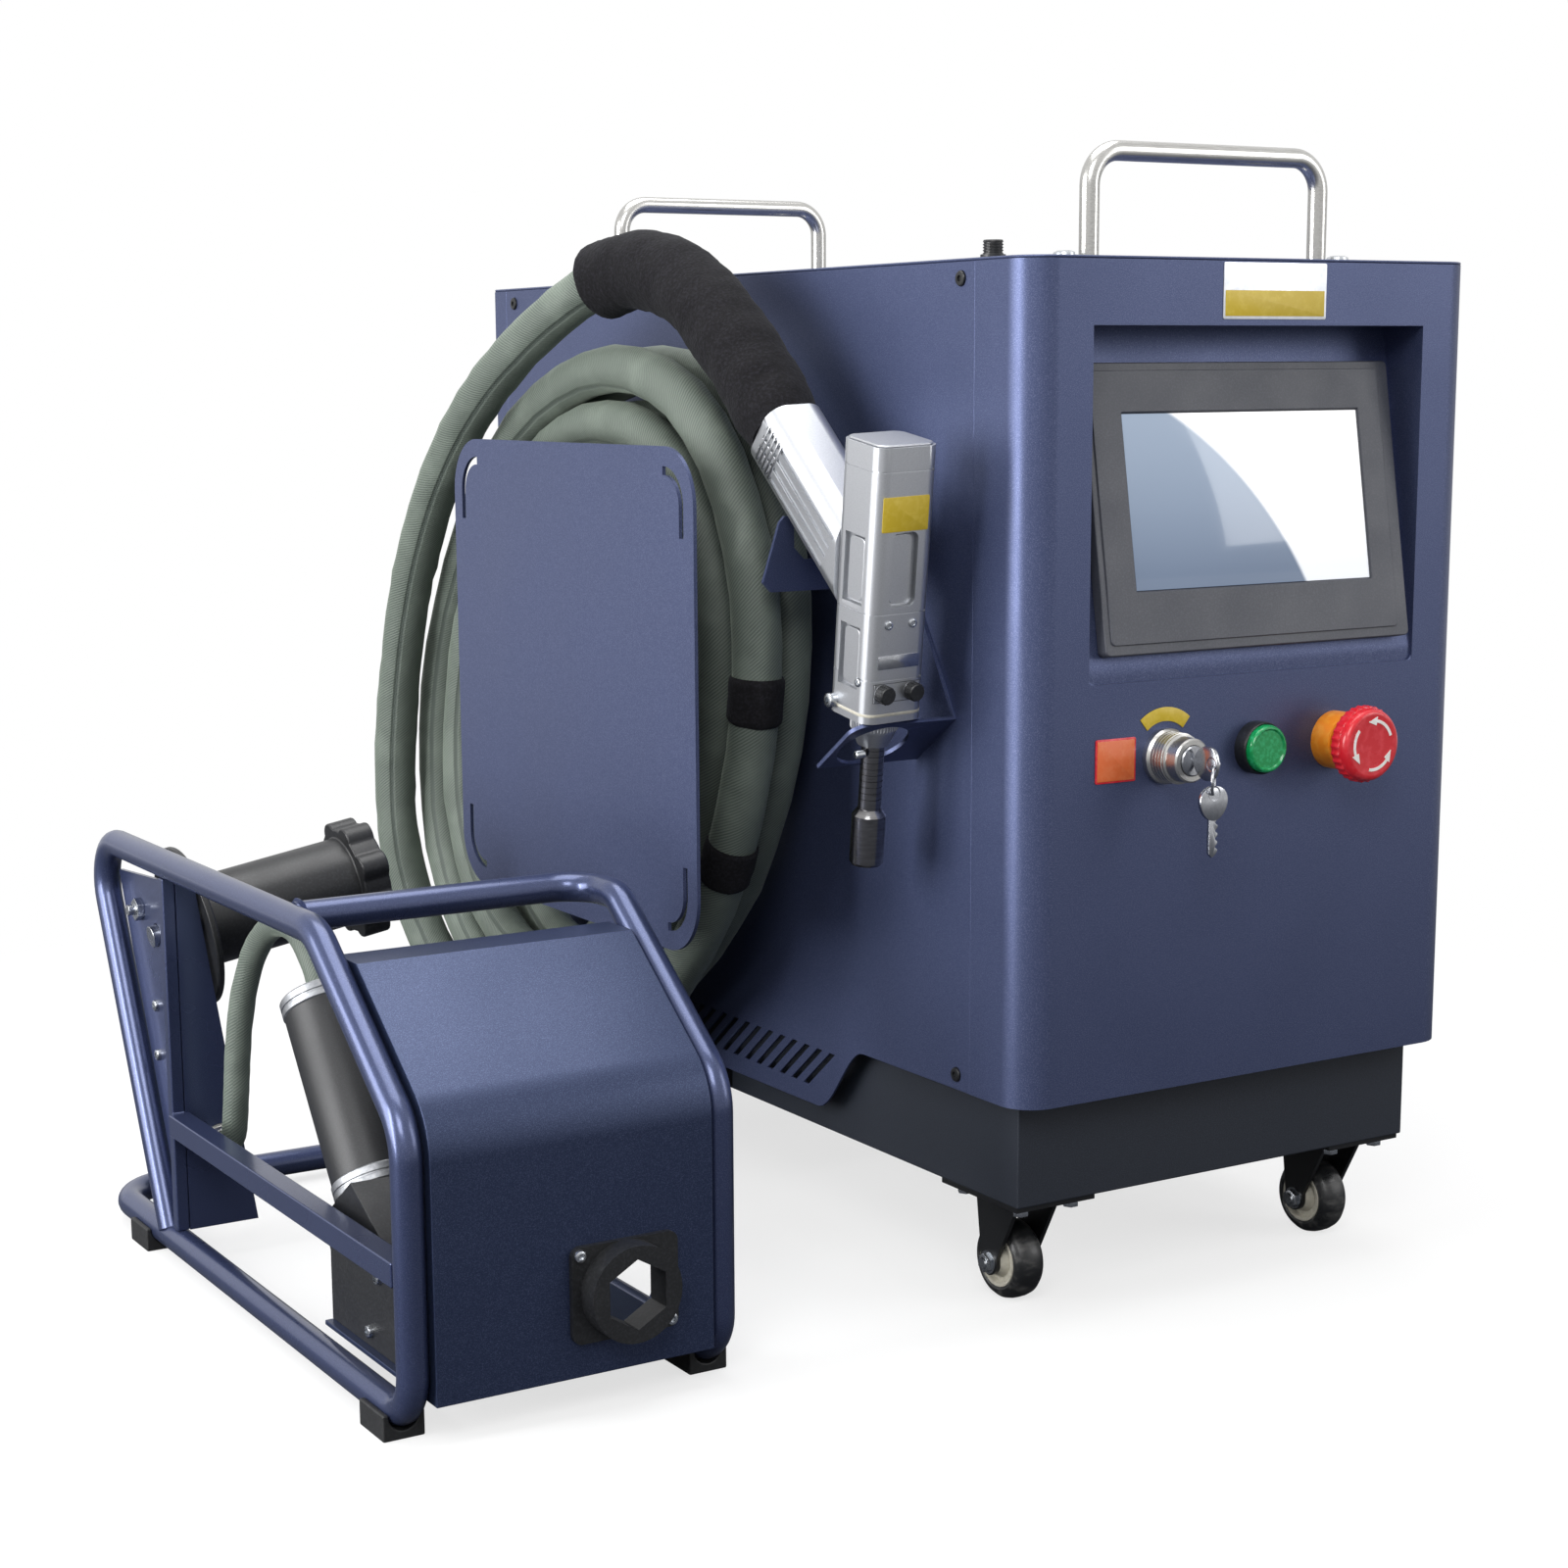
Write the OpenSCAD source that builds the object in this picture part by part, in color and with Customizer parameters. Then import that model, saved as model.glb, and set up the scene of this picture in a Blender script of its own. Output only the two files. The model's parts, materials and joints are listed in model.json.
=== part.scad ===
// Hand-held laser welder: cabinet on casters, torch with its hose, and a wire feeder beside it.
// Every piece is drawn from the cabinet's front left corner: X along the front, Y to the back, Z up.

/* [Cabinet] */
// Width of the cabinet
cab_w = 287.7; // [270:0.1:320]
// Depth of the cabinet
cab_d = 571.5; // [560:0.1:620]
// Height of the plinth's lower edge above the floor
plinth_z = 62.1; // [60:0.1:70]
// Height of the plinth
plinth_h = 56.3; // [50:0.1:70]
// Height of the housing that stands on the plinth
cab_h = 414.7; // [405:0.1:440]
// Thickness of the folded sheet
sheet = 1.5; // [1:0.1:2]
// Radius of the front's upright edges
edge_r = 18; // [12:1:20]
// How far the front cover turns back along the sides
front_return = 44; // [36:1:50]
// How far the rear cover turns forward along the sides
rear_return = 16.5; // [14:0.5:20]

/* [Screen] */
// Width of the screen's bezel
bezel_w = 200; // [190:1:204]
// Height of the screen's bezel
bezel_h = 143; // [136:1:146]
// Width of the lit glass
glass_w = 154; // [140:1:170]
// Height of the lit glass
glass_h = 87; // [80:1:96]
// How far the screen leans back
screen_tilt = 9.5; // [6:0.5:12]
// Height of the front opening
opening_h = 172.5; // [166:0.5:178]
// Width of the front opening
opening_w = 214; // [210:1:222]

/* [Controls] */
// Height of the row of controls
control_z = 290; // [284:1:296]
// Place of the key switch from the left
key_x = 86; // [82:1:92]
// Place of the green button from the left
button_x = 145; // [138:1:150]
// Place of the stop button from the left
stop_x = 198; // [194:1:206]
// Diameter of the stop button's head
stop_d = 40; // [36:1:44]
// Travel of the green button
button_travel = 4; // [2:0.5:5]
// Travel of the stop button
stop_travel = 5; // [3:0.5:5]

/* [Casters] */
// Diameter of a wheel
wheel_d = 42; // [38:1:42]
// Width of a wheel's tread
wheel_w = 18; // [14:1:19]
// How far a wheel trails behind its swivel
trail = 6; // [3:1:8]
// Diameter of a wheel's axle
axle_d = 8; // [6:0.5:9]

/* [Hose] */
// Diameter of the hose with its woven sleeve
hose_d = 27; // [24:0.5:27]
// Diameter of the padded wrap next to the torch
wrap_d = 43; // [38:1:44]
// Turns of the coil, half of them in each layer
coil_turns = 5; // [3:2:5]
// Half width of the outer turn
coil_a = 210; // [206:1:216]
// Half height of the outer turn
coil_b = 215; // [212:1:216]

/* [Torch] */
// Width of the torch's square body
torch_w = 35; // [32:0.5:38]
// Length of the torch's body
torch_l = 136; // [130:1:142]
// Length of the grip, from the body's middle
grip_l = 113; // [108:1:113]
// Width of the grip
grip_w = 34; // [30:0.5:36]
// Diameter of the nozzle tube
tube_d = 11.8; // [10:0.1:12.4]
// Travel of the trigger
trigger_travel = 3; // [2:0.5:4]

/* [Feeder] */
// Diameter of the frame's bent tube
frame_d = 15; // [13:0.5:16]
// Distance between the frame's left and right tubes
frame_w = 161; // [156:1:170]
// Distance between the feeder's left tube and the cabinet
frame_gap = 313; // [306:1:330]
// Diameter of the spool's rear flange
spool_d = 90; // [80:1:94]
// Diameter of the feed motor
motor_d = 45; // [40:1:46]

/* [Hidden] */
$fn = 48;

// Colours
blue_paint = "#4b5679";
dark_paint = "#33383f";
bright_steel = "#b9bcc0";
black_plastic = "#1f2023";
hose_green = "#4f6350";

// Shared small sizes
overrun = 1;
slide_gap = 0.3;
pin_gap = 0.05;
swing_gap = 0.4;
screw_d = 4;
head_d = 6;
seam = 0.8;
seam_step = 0.1;

// Cabinet
cab_z0 = plinth_z + plinth_h;
cab_top = cab_z0 + cab_h;
wall_top = cab_top - sheet;
plinth_x = 12.3;
plinth_y = 18.8;
plinth_t = 2;
plinth_lip = 110;
panel_y0 = front_return;
panel_y1 = cab_d - rear_return;

// Front opening and the slanted panel that carries the screen
opening_x = 38;
opening_up = 209.6;
opening_z = cab_z0 + opening_up;
opening_r = 4.5;
opening_top = opening_z + opening_h;
opening_deep = opening_h * tan(screen_tilt);
bezel_t = 7;
bezel_x = (opening_x + opening_w / 2) - bezel_w / 2;
bezel_up = 13;
bezel_r = 3;
body_t = 34;
body_margin = 8;
glass_t = 1.5;
glass_x = 22;
glass_up = 31;
cutout_gap = 0.3;

// Carrying handles
handle_w = 149;
handle_h = 57.7;
handle_d = 10;
handle_bend = 17;
handle_inset = 45;

// Side panel screws
side_screw_d = 7.5;
side_screw_t = 1.2;
side_screw_in = 11.5;
side_screw_up = 8;

// Skirt with louvres below the left panel
skirt_z = 79.5;
skirt_y0 = 142.5;
skirt_run = 44.5;
skirt_len = 285;
slot_count = 18;
slot_w = 5;
slot_run = 27;
slot_rise = 22;
slot_y = 170;
slot_pitch = 12.8;
slot_low = 10.5;

// Domed screws, the aerial stub and the round cap on the top
dome_d = 12;
dome_h = 4;
dome_off = 15;
stub_d = 10;
stub_h = 8.5;
stub_at = [12, 46];
cap_d = 22;
cap_h = 8;
cap_at = [165, 480];

// Key switch and its key
lock_steps = [[28, 4], [25.5, 14], [22, 22]];
lock_proud = 22;
rotor_d = 15;
rotor_deep = 16;
rotor_proud = 1;
blade_w = 6;
bow_d = 19;
bow_t = 2.2;
bow_reach = 9.5;
bow_hole = 3;
bow_y = -(lock_proud + rotor_proud + bow_reach);
ring_r = 7;
wire_d = 1.5;
ring_drop = 0.6;
ring_in = 5;
ring_y = bow_y - ring_in;
ring_top = control_z - ring_drop;
spare_l = 22;
spare_d = 17;
spare_w = 5.5;
thread_d = 22;

// Push buttons
collar_d = 27;
collar_proud = 8;
button_d = 24.4;
button_proud = 11.5;
stop_collar_d = 30;
stop_lip_d = 28;
stop_neck_d = 16;
stop_front = 30;
stop_head_t = 12;
stop_pin_d = 10;
stop_pin_l = 7;
stop_collar_proud = stop_front - stop_head_t - stop_travel - swing_gap;
inner_deep = 24;

// Hanger for the hose
plate_x = -100;
plate_t = 2;
plate_y = 144.5;
plate_w = 280.5;
plate_z = 182;
plate_h = 261;
plate_r = 30;
slot_in = 10;
slot_bar = 4.5;
slot_long = 36;
hook_y = [305, 371];
hook_z = [228, 397];
hook_r = 24;
hook_t = 3;

// Torch holder
holder_t = 2;
tray_front = [58.5, 310.2];
tray_slope = 35;
tray_l = 42;
tray_w = 60;
tray_hole_d = 38;
tray_hole_y = 21.7;
tray_hole_x = 38;
tray_r = 9;
holder_top = 414;
holder_y = 132;
holder_neck = [93, 371.6];
holder_back = 116;
ear_step = 3;
notch_r = 6;
ear_z = 370;
ear_w = 68;
ear_top_w = 58;
ear_r = 5;
notch_x = [-49.5, -12];
notch_z = 386;
horn_z = 408;

// Coil of the hose
coil_y = 367;
coil_z = 282;
coil_lean = 0.3;
coil_pitch_y = 36;
coil_pitch_z = 30;
coil_x = -26.5;
coil_step = 28.5;
coil_rings = 24;
coil_sides = 6;
lead_l = 76.5;
lead_end = 26.5;
coil_bottom = coil_z - coil_b;
coil_exit_y = coil_y + coil_lean * coil_b;

// Route of the hose's free stretch, from the coil's end to the wrap
route = [
    [-55, 458, 67], [-57, 494, 73], [-62, 525, 91], [-69, 548, 119], [-77, 560, 153], [-82.5, 563, 192],
    [-83.5, 561, 237], [-83.5, 552, 284], [-83.5, 537, 330], [-83.5, 515, 373], [-83.5, 486, 412],
    [-83, 451, 446], [-80.5, 413, 475], [-75, 377, 498], [-68, 344, 516], [-61, 316, 528]
];
// Route of the padded wrap, on to the grip
wrap_route = [
    [-61, 316, 528], [-55, 290, 534], [-50.5, 264, 533], [-48, 235, 523], [-47, 205, 505], [-46, 176, 480]
];
hose_sides = 8;
wrap_sides = 10;

// Hose outlet under the left panel
outlet_y = [300, 343];
outlet_z = [50, 90];
outlet_x = -43;
gland_d = 36;
neck_z = [64, 78];

// Torch, in its own leaning frame
torch_at = [-38.7, 72.4, 312.9];
torch_lean = 9.5;
torch_tip = 2.5;
torch_r = 7;
beam_d = 10;
beam_l = 80;
pocket_w = 15;
pocket_h = 37;
pocket_t = 4;
pocket_z = 58;
pocket_r = 4;
window_w = 17;
window_t = 3;
windows = [[16, 31], [58, 34]];
drawer_w = 26;
drawer_h = 9;
drawer_l = 29;
drawer_z = 11;
knob_d = 8.5;
knob_h = 5;
knob_off = 8.5;
grip_z = 61;
grip_turn = 56.7;
grip_t = 38;
grip_r = 11;
groove_w = 2.4;
groove_t = 1.2;
groove_pitch = 6;
groove_count = 4;
groove_from = 30;
groove_to = 108;
trigger_w = 13;
trigger_l = 30;
trigger_at = 40;
trigger_proud = 6;
trigger_deep = 5;
ring_d = 24;
ring_h = 8;
cone_d = 16;
cone_top_d = 22;
cone_h = 8;
nozzle_top = 5;
tube_l = 50;
tip_d = 17.5;
tip_l = 29;
tip_cone = 3;
nozzle_bore = 6;

// Inner units
module_gap = 38;
module_size = [cab_w - 2 * module_gap, 300, 130];
module_at = [module_gap, 110];
fin_count = 9;
fin_t = 3;
fin_h = 14;
fin_pitch = (module_size.x - fin_t) / (fin_count - 1);
board_fin = 5;
board_fins = 3;
supply_in = 12;
supply_size = [module_size.x / 2, 250, 55];
supply_at = [module_at.x + supply_in, 130];
standoff_d = 6;
board_size = [board_fins * fin_pitch + 2 * standoff_d, 180, 1.6];
board_at = [module_at.x + board_fin * fin_pitch + fin_t / 2 - standoff_d, 140];
standoff_h = 10;
chip_size = [24, 30, 8];
fan_w = 120;
fan_t = 25;
fan_bore = 112;
fan_z = 420;
fan_hub = 40;
fan_arm = 6;
rotor_t = 18;
blade_count = 7;
blade_t = 2;
blade_turn = 38;
shaft_d = 6;
vent_d = 106;
vent_bar = 6;
vent_bars = 5;

// Fittings on the back
barb_d = 8;
barb_l = 20;
nut_d = 16;
nut_h = 6;
inlet_d = 26;
inlet_l = 18;
switch_size = [32, 46, 10];
gas_at = [70, 200];
power_at = [215, 200];
switch_at = [215, 270];

// Casters
mount_w = 50;
mount_l = 66;
mount_t = 3;
mount_off = 2.2;
mount_side = 1.05;
bolt_x = 32;
bolt_y = 48;
bolt_d = 8;
bolt_h = 4.5;
kingpin_d = 10;
kingpin_h = 8;
race_d = 30;
crown_t = 4;
cheek_t = 2.5;
cheek_gap = 0.35;
hub_d = 16;
hub_side = 2;
cheek_top = 34;
cheek_low = 14;
swivel_x = plinth_x + mount_w / 2 + mount_side;
swivel_y = plinth_y + mount_off + mount_l / 2;
rear_y = cab_d - plinth_y - mount_off - mount_l / 2;
right_x = cab_w - swivel_x;
wheel_z = wheel_d / 2;
fork_top = plinth_z - mount_t;
inner_w = wheel_w + 2 * hub_side + 2 * cheek_gap;

// Feeder frame
left_x = -frame_gap;
feed_x = left_x + frame_w;
base_z = 12;
front_y = 37;
back_y = 460;
knee_z = 148;
shoulder_y = 134;
rail_z = 223;
knee_bend = 30;
base_bend = 22;
rear_bend = 34;
top_bend = 24;
handle_y = 170;
handle_turn = 22;
top_knee = 18;
weld_step = 0.4;
post_y = 345;
rear_foot_y = 361;
rear_top_y = 460;
rail_w = 12;
side_rail_z = 80;
post_w = 7;
slope = atan((rail_z - knee_z) / (shoulder_y - front_y));
foot_w = 21;
foot_l = 28;
foot_hh = 13;
foot_front_y = 48;
foot_rear_y = 374;

// Feeder cover
cover_t = 2;
cover_off = 8.5;
cover_gap = 0.3;
cover_bottom = 22;
cover_fold_y = 105;
cover_lip = 24;
cover_side = 13;
floor_end = 160;
floor_z = base_z + frame_d / 2;

// Bracket of the spool, spool and axle
web_t = 2.5;
web_off = 5;
web_back = 24;
web_drop = 6;
web_rise = 20;
web_toe = 6;
web_x = left_x + web_off;
flange_top_w = 9;
flange_low_w = 38;
bracket_low = floor_z;
bracket_high = 212;
spool_y = 376;
spool_x = -292.5;
spool_z = 181;
spool_tilt = 9.7;
spool_t = 4;
spool_l = 96;
hub_big_d = 50;
lobe_d = 68;
lobe_t = 16;
lobes = 8;
lobe_r = 8;
axle_rod = 12;
axle_cap = 18;
axle_cap_t = 3;
bracket_bolt = [400, 189];
bolt_rod = 6;
bolt_reach = 8;
bolt_nut = 13;
bolt_nut_t = 4;

// Drive
motor_low = [150, 85];
motor_l = 109;
motor_run = 65;
motor_rise = 87;
motor_x = -278;
motor_ring = 9;
motor_step = 1;
block_x = [-301, -232];
block_y = 84;
block_back_drop = 28;
block_front_drop = 12;
block_screws = [[100, 60], [112, 30]];
web_screw_z = [110, 138];
roller_x = -214;
roller_d = 30;
roller_w = 10;
roller_y = 112;
roller_z = 45;
idler_d = 22;
wire_gap = 0.8;
arm_t = 4;
arm_w = 12;
arm_pivot_y = 148;
arm_l = 74;
arm_gap = 3;
arm_eye = 16;
arm_pin_l = 10;
stub_shaft = 8;

// Outlet flange of the feeder
flange_w = 56;
flange_h = 47;
flange_t = 3;
flange_r = 5;
flange_at = [-209, 60];
collar_out = 47;
collar_l = 15;
hex_w = 29.5;
connector_at = [-290, 66];
connector_d = 22;
plug_l = 8;
cable_d = 14;
// Route of the motor's cable to its connector
cable_route = [
    [-278, 227, 188], [-279, 246, 200], [-281, 270, 199], [-284, 292, 182], [-287, 305, 155],
    [-289, 311, 125], [-290, 314, 98], [-290, 320, 76]
];

// Origin of the part: the middle of its footprint, without the hose
part_left = left_x - foot_w / 2;
part_right = cab_w;
part_front = ring_y - ring_r * sin(45) - wire_d / 2;
part_back = cab_d + nut_h + barb_l;
origin = [(part_left + part_right) / 2, (part_front + part_back) / 2, 0];

// Helpers
function unit(v) = v / norm(v);
function turn(a, b, c) = acos(unit(b - a) * unit(c - b));
function setback(p, r, i) = (i == 0 || i == len(p) - 1) ? 0 : r[i] * tan(turn(p[i - 1], p[i], p[i + 1]) / 2);
function arc(centre, r, from, to, steps) =
    [for (k = [0:steps]) centre + r * [cos(from + (to - from) * k / steps), sin(from + (to - from) * k / steps)]];

module in_frame() { translate(-origin) children(); }
module y_rod(d, l) { rotate([-90, 0, 0]) cylinder(d = d, h = l); }
module x_rod(d, l) { rotate([0, 90, 0]) cylinder(d = d, h = l); }
module yz_plate(points, x, t) {
    translate([x, 0, 0]) rotate([90, 0, 90]) linear_extrude(t) polygon(points);
}
module rounded(w, h, r) {
    translate([r, 0]) square([w - 2 * r, h]);
    translate([0, r]) square([w, h - 2 * r]);
    for (x = [r, w - r], y = [r, h - r]) translate([x, y]) circle(r = r);
}
module along(a, b) {
    d = b - a;
    translate(a) rotate([0, acos(d.z / norm(d)), atan2(d.y, d.x)]) children();
}
module elbow(a, b, c, r, d) {
    u = unit(b - a);
    angle = turn(a, b, c);
    n = unit(cross(u, unit(c - b)));
    inward = cross(n, u);
    o = b - r * tan(angle / 2) * u + r * inward;
    multmatrix([
        [-inward.x, u.x, n.x, o.x], [-inward.y, u.y, n.y, o.y], [-inward.z, u.z, n.z, o.z], [0, 0, 0, 1]
    ]) rotate_extrude(angle = angle) translate([r, 0]) circle(d = d);
}
// Bent tube: each straight run reaches a little way into the elbows at its ends
module pipe(points, bends, d, end_d) {
    last = len(points) - 1;
    for (i = [0:last - 1]) {
        u = unit(points[i + 1] - points[i]);
        a = points[i] + (setback(points, bends, i) - (i == 0 ? 0 : seam)) * u;
        b = points[i + 1] - (setback(points, bends, i + 1) - (i == last - 1 ? 0 : seam)) * u;
        along(a, b) cylinder(d = (i == 0 || i == last - 1 ? end_d : d) - seam_step, h = norm(b - a));
    }
    for (i = [1:last - 1]) elbow(points[i - 1], points[i], points[i + 1], bends[i], d);
}
module domed(d, h) {
    difference() {
        union() {
            cylinder(d = d, h = h / 2);
            translate([0, 0, h / 2]) cylinder(d1 = d, d2 = d / 2, h = h / 2);
        }
        translate([0, 0, h / 2]) cylinder(d = d / 3, h = h, $fn = 6);
    }
}

// Sweep of a round section along a route: one ring at each point, square to the way there
function way(p, i) = unit(p[min(i + 1, len(p) - 1)] - p[max(i - 1, 0)]);
function ring(p, w, r, n) =
    let (e = unit(cross(w, [1, 0, 0])), f = cross(w, e))
    [for (k = [0:n - 1]) p + r * (cos(360 * k / n) * e + sin(360 * k / n) * f)];
module swept(p, d, n, from, to) {
    last = len(p) - 1;
    rings = [
        for (i = [0:last])
            each ring(p[i], i == 0 ? from : (i == last ? to : way(p, i)), d / 2, n)
    ];
    sides = [
        for (i = [0:last - 1], k = [0:n - 1])
            let (a = i * n + k, b = i * n + (k + 1) % n)
            each [[a, a + n, b + n], [a, b + n, b]]
    ];
    caps = [for (k = [1:n - 2]) each [[0, k, k + 1], [last * n, last * n + k + 1, last * n + k]]];
    polyhedron(points = rings, faces = concat(sides, caps));
}

// Coil: spirals in, climbs to the outer layer in the half turn where it reverses, and spirals out
function wound(t) = min(t, coil_turns - t);
function climb(t) = let (u = min(max(2 * t - coil_turns + 0.5, 0), 1)) u * u * (3 - 2 * u);
function coil_point(t) =
    let (
        angle = 360 * t - 90,
        a = coil_a - coil_pitch_y * wound(t),
        b = coil_b - coil_pitch_z * wound(t)
    )
    [
        coil_x - coil_step * climb(t),
        coil_y + a * cos(angle) - coil_lean * b * sin(angle),
        coil_z + b * sin(angle)
    ];
coil_points = [for (k = [0:coil_turns * coil_rings]) coil_point(k / coil_rings)];
coil_path = concat(
    [coil_point(0) - [0, lead_l, 0], coil_point(0) - [0, lead_l / 2, 0]],
    coil_points,
    [coil_point(coil_turns) + [0, lead_end, 0]]
);
coil_self_gap = min([
    for (i = [0:len(coil_points) - 1], j = [i + coil_rings / 2:1:len(coil_points) - 1])
        norm(coil_points[i] - coil_points[j])
]) - hose_d;
echo(coil_self_gap = coil_self_gap);

module base_plinth() {
    w = cab_w - 2 * plinth_x;
    d = cab_d - 2 * plinth_y;
    color(dark_paint) in_frame() translate([plinth_x, plinth_y, plinth_z]) difference() {
        cube([w, d, plinth_h]);
        translate([plinth_t, plinth_t, plinth_t])
            cube([w - 2 * plinth_t, d - 2 * plinth_t, plinth_h - 2 * plinth_t]);
        translate([plinth_t, plinth_lip, -overrun])
            cube([w - 2 * plinth_t, d - 2 * plinth_lip, plinth_t + 2 * overrun]);
    }
}

module wrap_outline(inset) {
    r = edge_r - inset;
    translate([inset, inset]) {
        translate([r, 0]) square([cab_w - 2 * edge_r, front_return - inset]);
        translate([0, r]) square([cab_w - 2 * inset, front_return - edge_r]);
        for (x = [r, cab_w - 2 * inset - r]) translate([x, r]) circle(r = r);
    }
}

// Side view of the wedge behind the front opening, shut in by walls of a given thickness
function wedge(t) = [
    [0, opening_z - t], [0, opening_top + t],
    [opening_deep + t, opening_top + t], [t, opening_z - t]
];

module front_cover() {
    cut_x = (bezel_w - 2 * body_margin + 2 * cutout_gap);
    cut_z = (bezel_h - 2 * body_margin + 2 * cutout_gap);
    color(blue_paint) in_frame() difference() {
        union() {
            translate([0, 0, cab_z0]) linear_extrude(cab_h - sheet) difference() {
                wrap_outline(0);
                wrap_outline(sheet);
                translate([sheet, front_return - overrun])
                    square([cab_w - 2 * sheet, 2 * overrun]);
            }
            yz_plate(wedge(sheet), opening_x - sheet, opening_w + 2 * sheet);
        }
        translate([opening_x, -overrun, opening_z]) rotate([90, 0, 0]) translate([0, 0, -sheet - overrun])
            linear_extrude(sheet + overrun) rounded(opening_w, opening_h, opening_r);
        yz_plate([
            [-overrun, opening_z], [-overrun, opening_top], [opening_deep, opening_top], [0, opening_z]
        ], opening_x, opening_w);
        on_screen() translate([body_margin - cutout_gap, 0, body_margin - cutout_gap])
            cube([cut_x, body_t, cut_z]);
        for (x = [key_x, button_x, stop_x]) translate([x, -overrun, control_z])
            y_rod(thread_d + 2 * slide_gap, sheet + 2 * overrun);
    }
}

module on_screen() {
    translate([bezel_x, 0, opening_z]) rotate([-screen_tilt, 0, 0]) translate([0, -bezel_t, bezel_up])
        children();
}

module screen_housing() {
    color("#55575d") in_frame() on_screen() difference() {
        union() {
            translate([0, bezel_t, 0]) rotate([90, 0, 0]) linear_extrude(bezel_t) rounded(bezel_w, bezel_h, bezel_r);
            translate([body_margin, bezel_t, body_margin])
                cube([bezel_w - 2 * body_margin, body_t, bezel_h - 2 * body_margin]);
        }
        translate([glass_x, -overrun, glass_up]) cube([glass_w, glass_t + overrun, glass_h]);
    }
}

module screen_glass() {
    color("#cfe0ee") in_frame() on_screen() translate([glass_x, 0, glass_up])
        cube([glass_w, glass_t, glass_h]);
}

function skirt_step(y, sign, n) = [
    for (k = [0:n])
        let (u = k / n, s = sign > 0 ? u : 1 - u)
        [y + skirt_run * u, cab_z0 - (cab_z0 - skirt_z) * s * s * (3 - 2 * s)]
];

module side_screw_holes() {
    for (y = [panel_y0 + side_screw_in, panel_y1 - side_screw_in], z = [cab_z0, wall_top])
        translate([-overrun, y, z + (z == cab_z0 ? side_screw_up : -side_screw_up)])
            x_rod(side_screw_d, cab_w + 2 * overrun);
}

module side_panel_left() {
    outline = concat(
        [[panel_y0, wall_top], [panel_y0, cab_z0]],
        skirt_step(skirt_y0, 1, 10),
        skirt_step(skirt_y0 + skirt_run + skirt_len - 2 * skirt_run, -1, 10),
        [[panel_y1, cab_z0], [panel_y1, wall_top]]
    );
    color(blue_paint) in_frame() difference() {
        yz_plate(outline, 0, sheet);
        for (k = [0:slot_count - 1]) {
            y = slot_y + slot_pitch * k;
            z = skirt_z + slot_low;
            yz_plate([
                [y, z + slot_rise], [y + slot_w, z + slot_rise], [y + slot_w + slot_run, z],
                [y + slot_run, z]
            ], -overrun, sheet + 2 * overrun);
        }
        side_screw_holes();
    }
}

module side_panel_right() {
    color(blue_paint) in_frame() difference() {
        translate([cab_w - sheet, panel_y0, cab_z0]) cube([sheet, panel_y1 - panel_y0, cab_h - sheet]);
        side_screw_holes();
    }
}

module top_cover() {
    color(blue_paint) in_frame() translate([0, 0, wall_top]) linear_extrude(sheet) {
        translate([edge_r, 0]) square([cab_w - 2 * edge_r, edge_r]);
        translate([0, edge_r]) square([cab_w, cab_d - edge_r]);
        for (x = [edge_r, cab_w - edge_r]) translate([x, edge_r]) circle(r = edge_r);
    }
}

module rear_cover() {
    color(blue_paint) in_frame() difference() {
        translate([0, panel_y1, cab_z0]) cube([cab_w, rear_return, cab_h - sheet]);
        translate([sheet, panel_y1 - overrun, cab_z0 - overrun])
            cube([cab_w - 2 * sheet, rear_return - sheet + overrun, cab_h + overrun]);
        difference() {
            translate([cab_w / 2, cab_d - sheet - overrun, fan_z]) y_rod(vent_d, sheet + 2 * overrun);
            for (k = [0:vent_bars - 1])
                translate([
                    cab_w / 2 - vent_d / 2, cab_d - sheet,
                    fan_z + (k - (vent_bars - 1) / 2) * vent_d / vent_bars - vent_bar / 2
                ]) cube([vent_d, sheet, vent_bar]);
        }
        translate([gas_at.x, cab_d - sheet - overrun, gas_at.y]) y_rod(barb_d, sheet + 2 * overrun);
        translate([power_at.x, cab_d - sheet - overrun, power_at.y]) y_rod(inlet_d / 2, sheet + 2 * overrun);
    }
}

module carry_handles() {
    x0 = (cab_w - handle_w) / 2;
    top = cab_top + handle_h - handle_d / 2;
    color(bright_steel) in_frame() for (y = [handle_inset, cab_d - handle_inset])
        pipe([
            [x0, y, cab_top], [x0, y, top], [x0 + handle_w, y, top], [x0 + handle_w, y, cab_top]
        ], [0, handle_bend, handle_bend, 0], handle_d, handle_d);
}

module fasteners() {
    x0 = (cab_w - handle_w) / 2;
    color("#c9ccd0") in_frame() {
        for (x = [x0 - dome_off, x0 + handle_w + dome_off], y = [handle_inset, cab_d - handle_inset])
            translate([x, y, cab_top]) domed(dome_d, dome_h);
        for (x = [swivel_x, right_x], y = [swivel_y, rear_y], a = [-bolt_x, bolt_x], b = [-bolt_y, bolt_y])
            translate([x + a / 2, y + b / 2, fork_top - bolt_h]) cylinder(d = bolt_d, h = bolt_h);
        for (a = [-1, 1])
            translate([
                flange_at.x + a * (flange_w / 2 - screw_d), front_y - cover_off - flange_t,
                flange_at.y - a * (flange_h / 2 - screw_d)
            ]) rotate([90, 0, 0]) domed(head_d, screw_d / 2);
        for (z = web_screw_z)
            translate([web_x - web_t / 2, spool_y + screw_d, z]) rotate([0, -90, 0]) domed(head_d, screw_d / 2);
        for (p = block_screws)
            translate([block_x[0], p.x, p.y]) rotate([0, -90, 0]) domed(head_d, screw_d / 2);
    }
}

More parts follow.
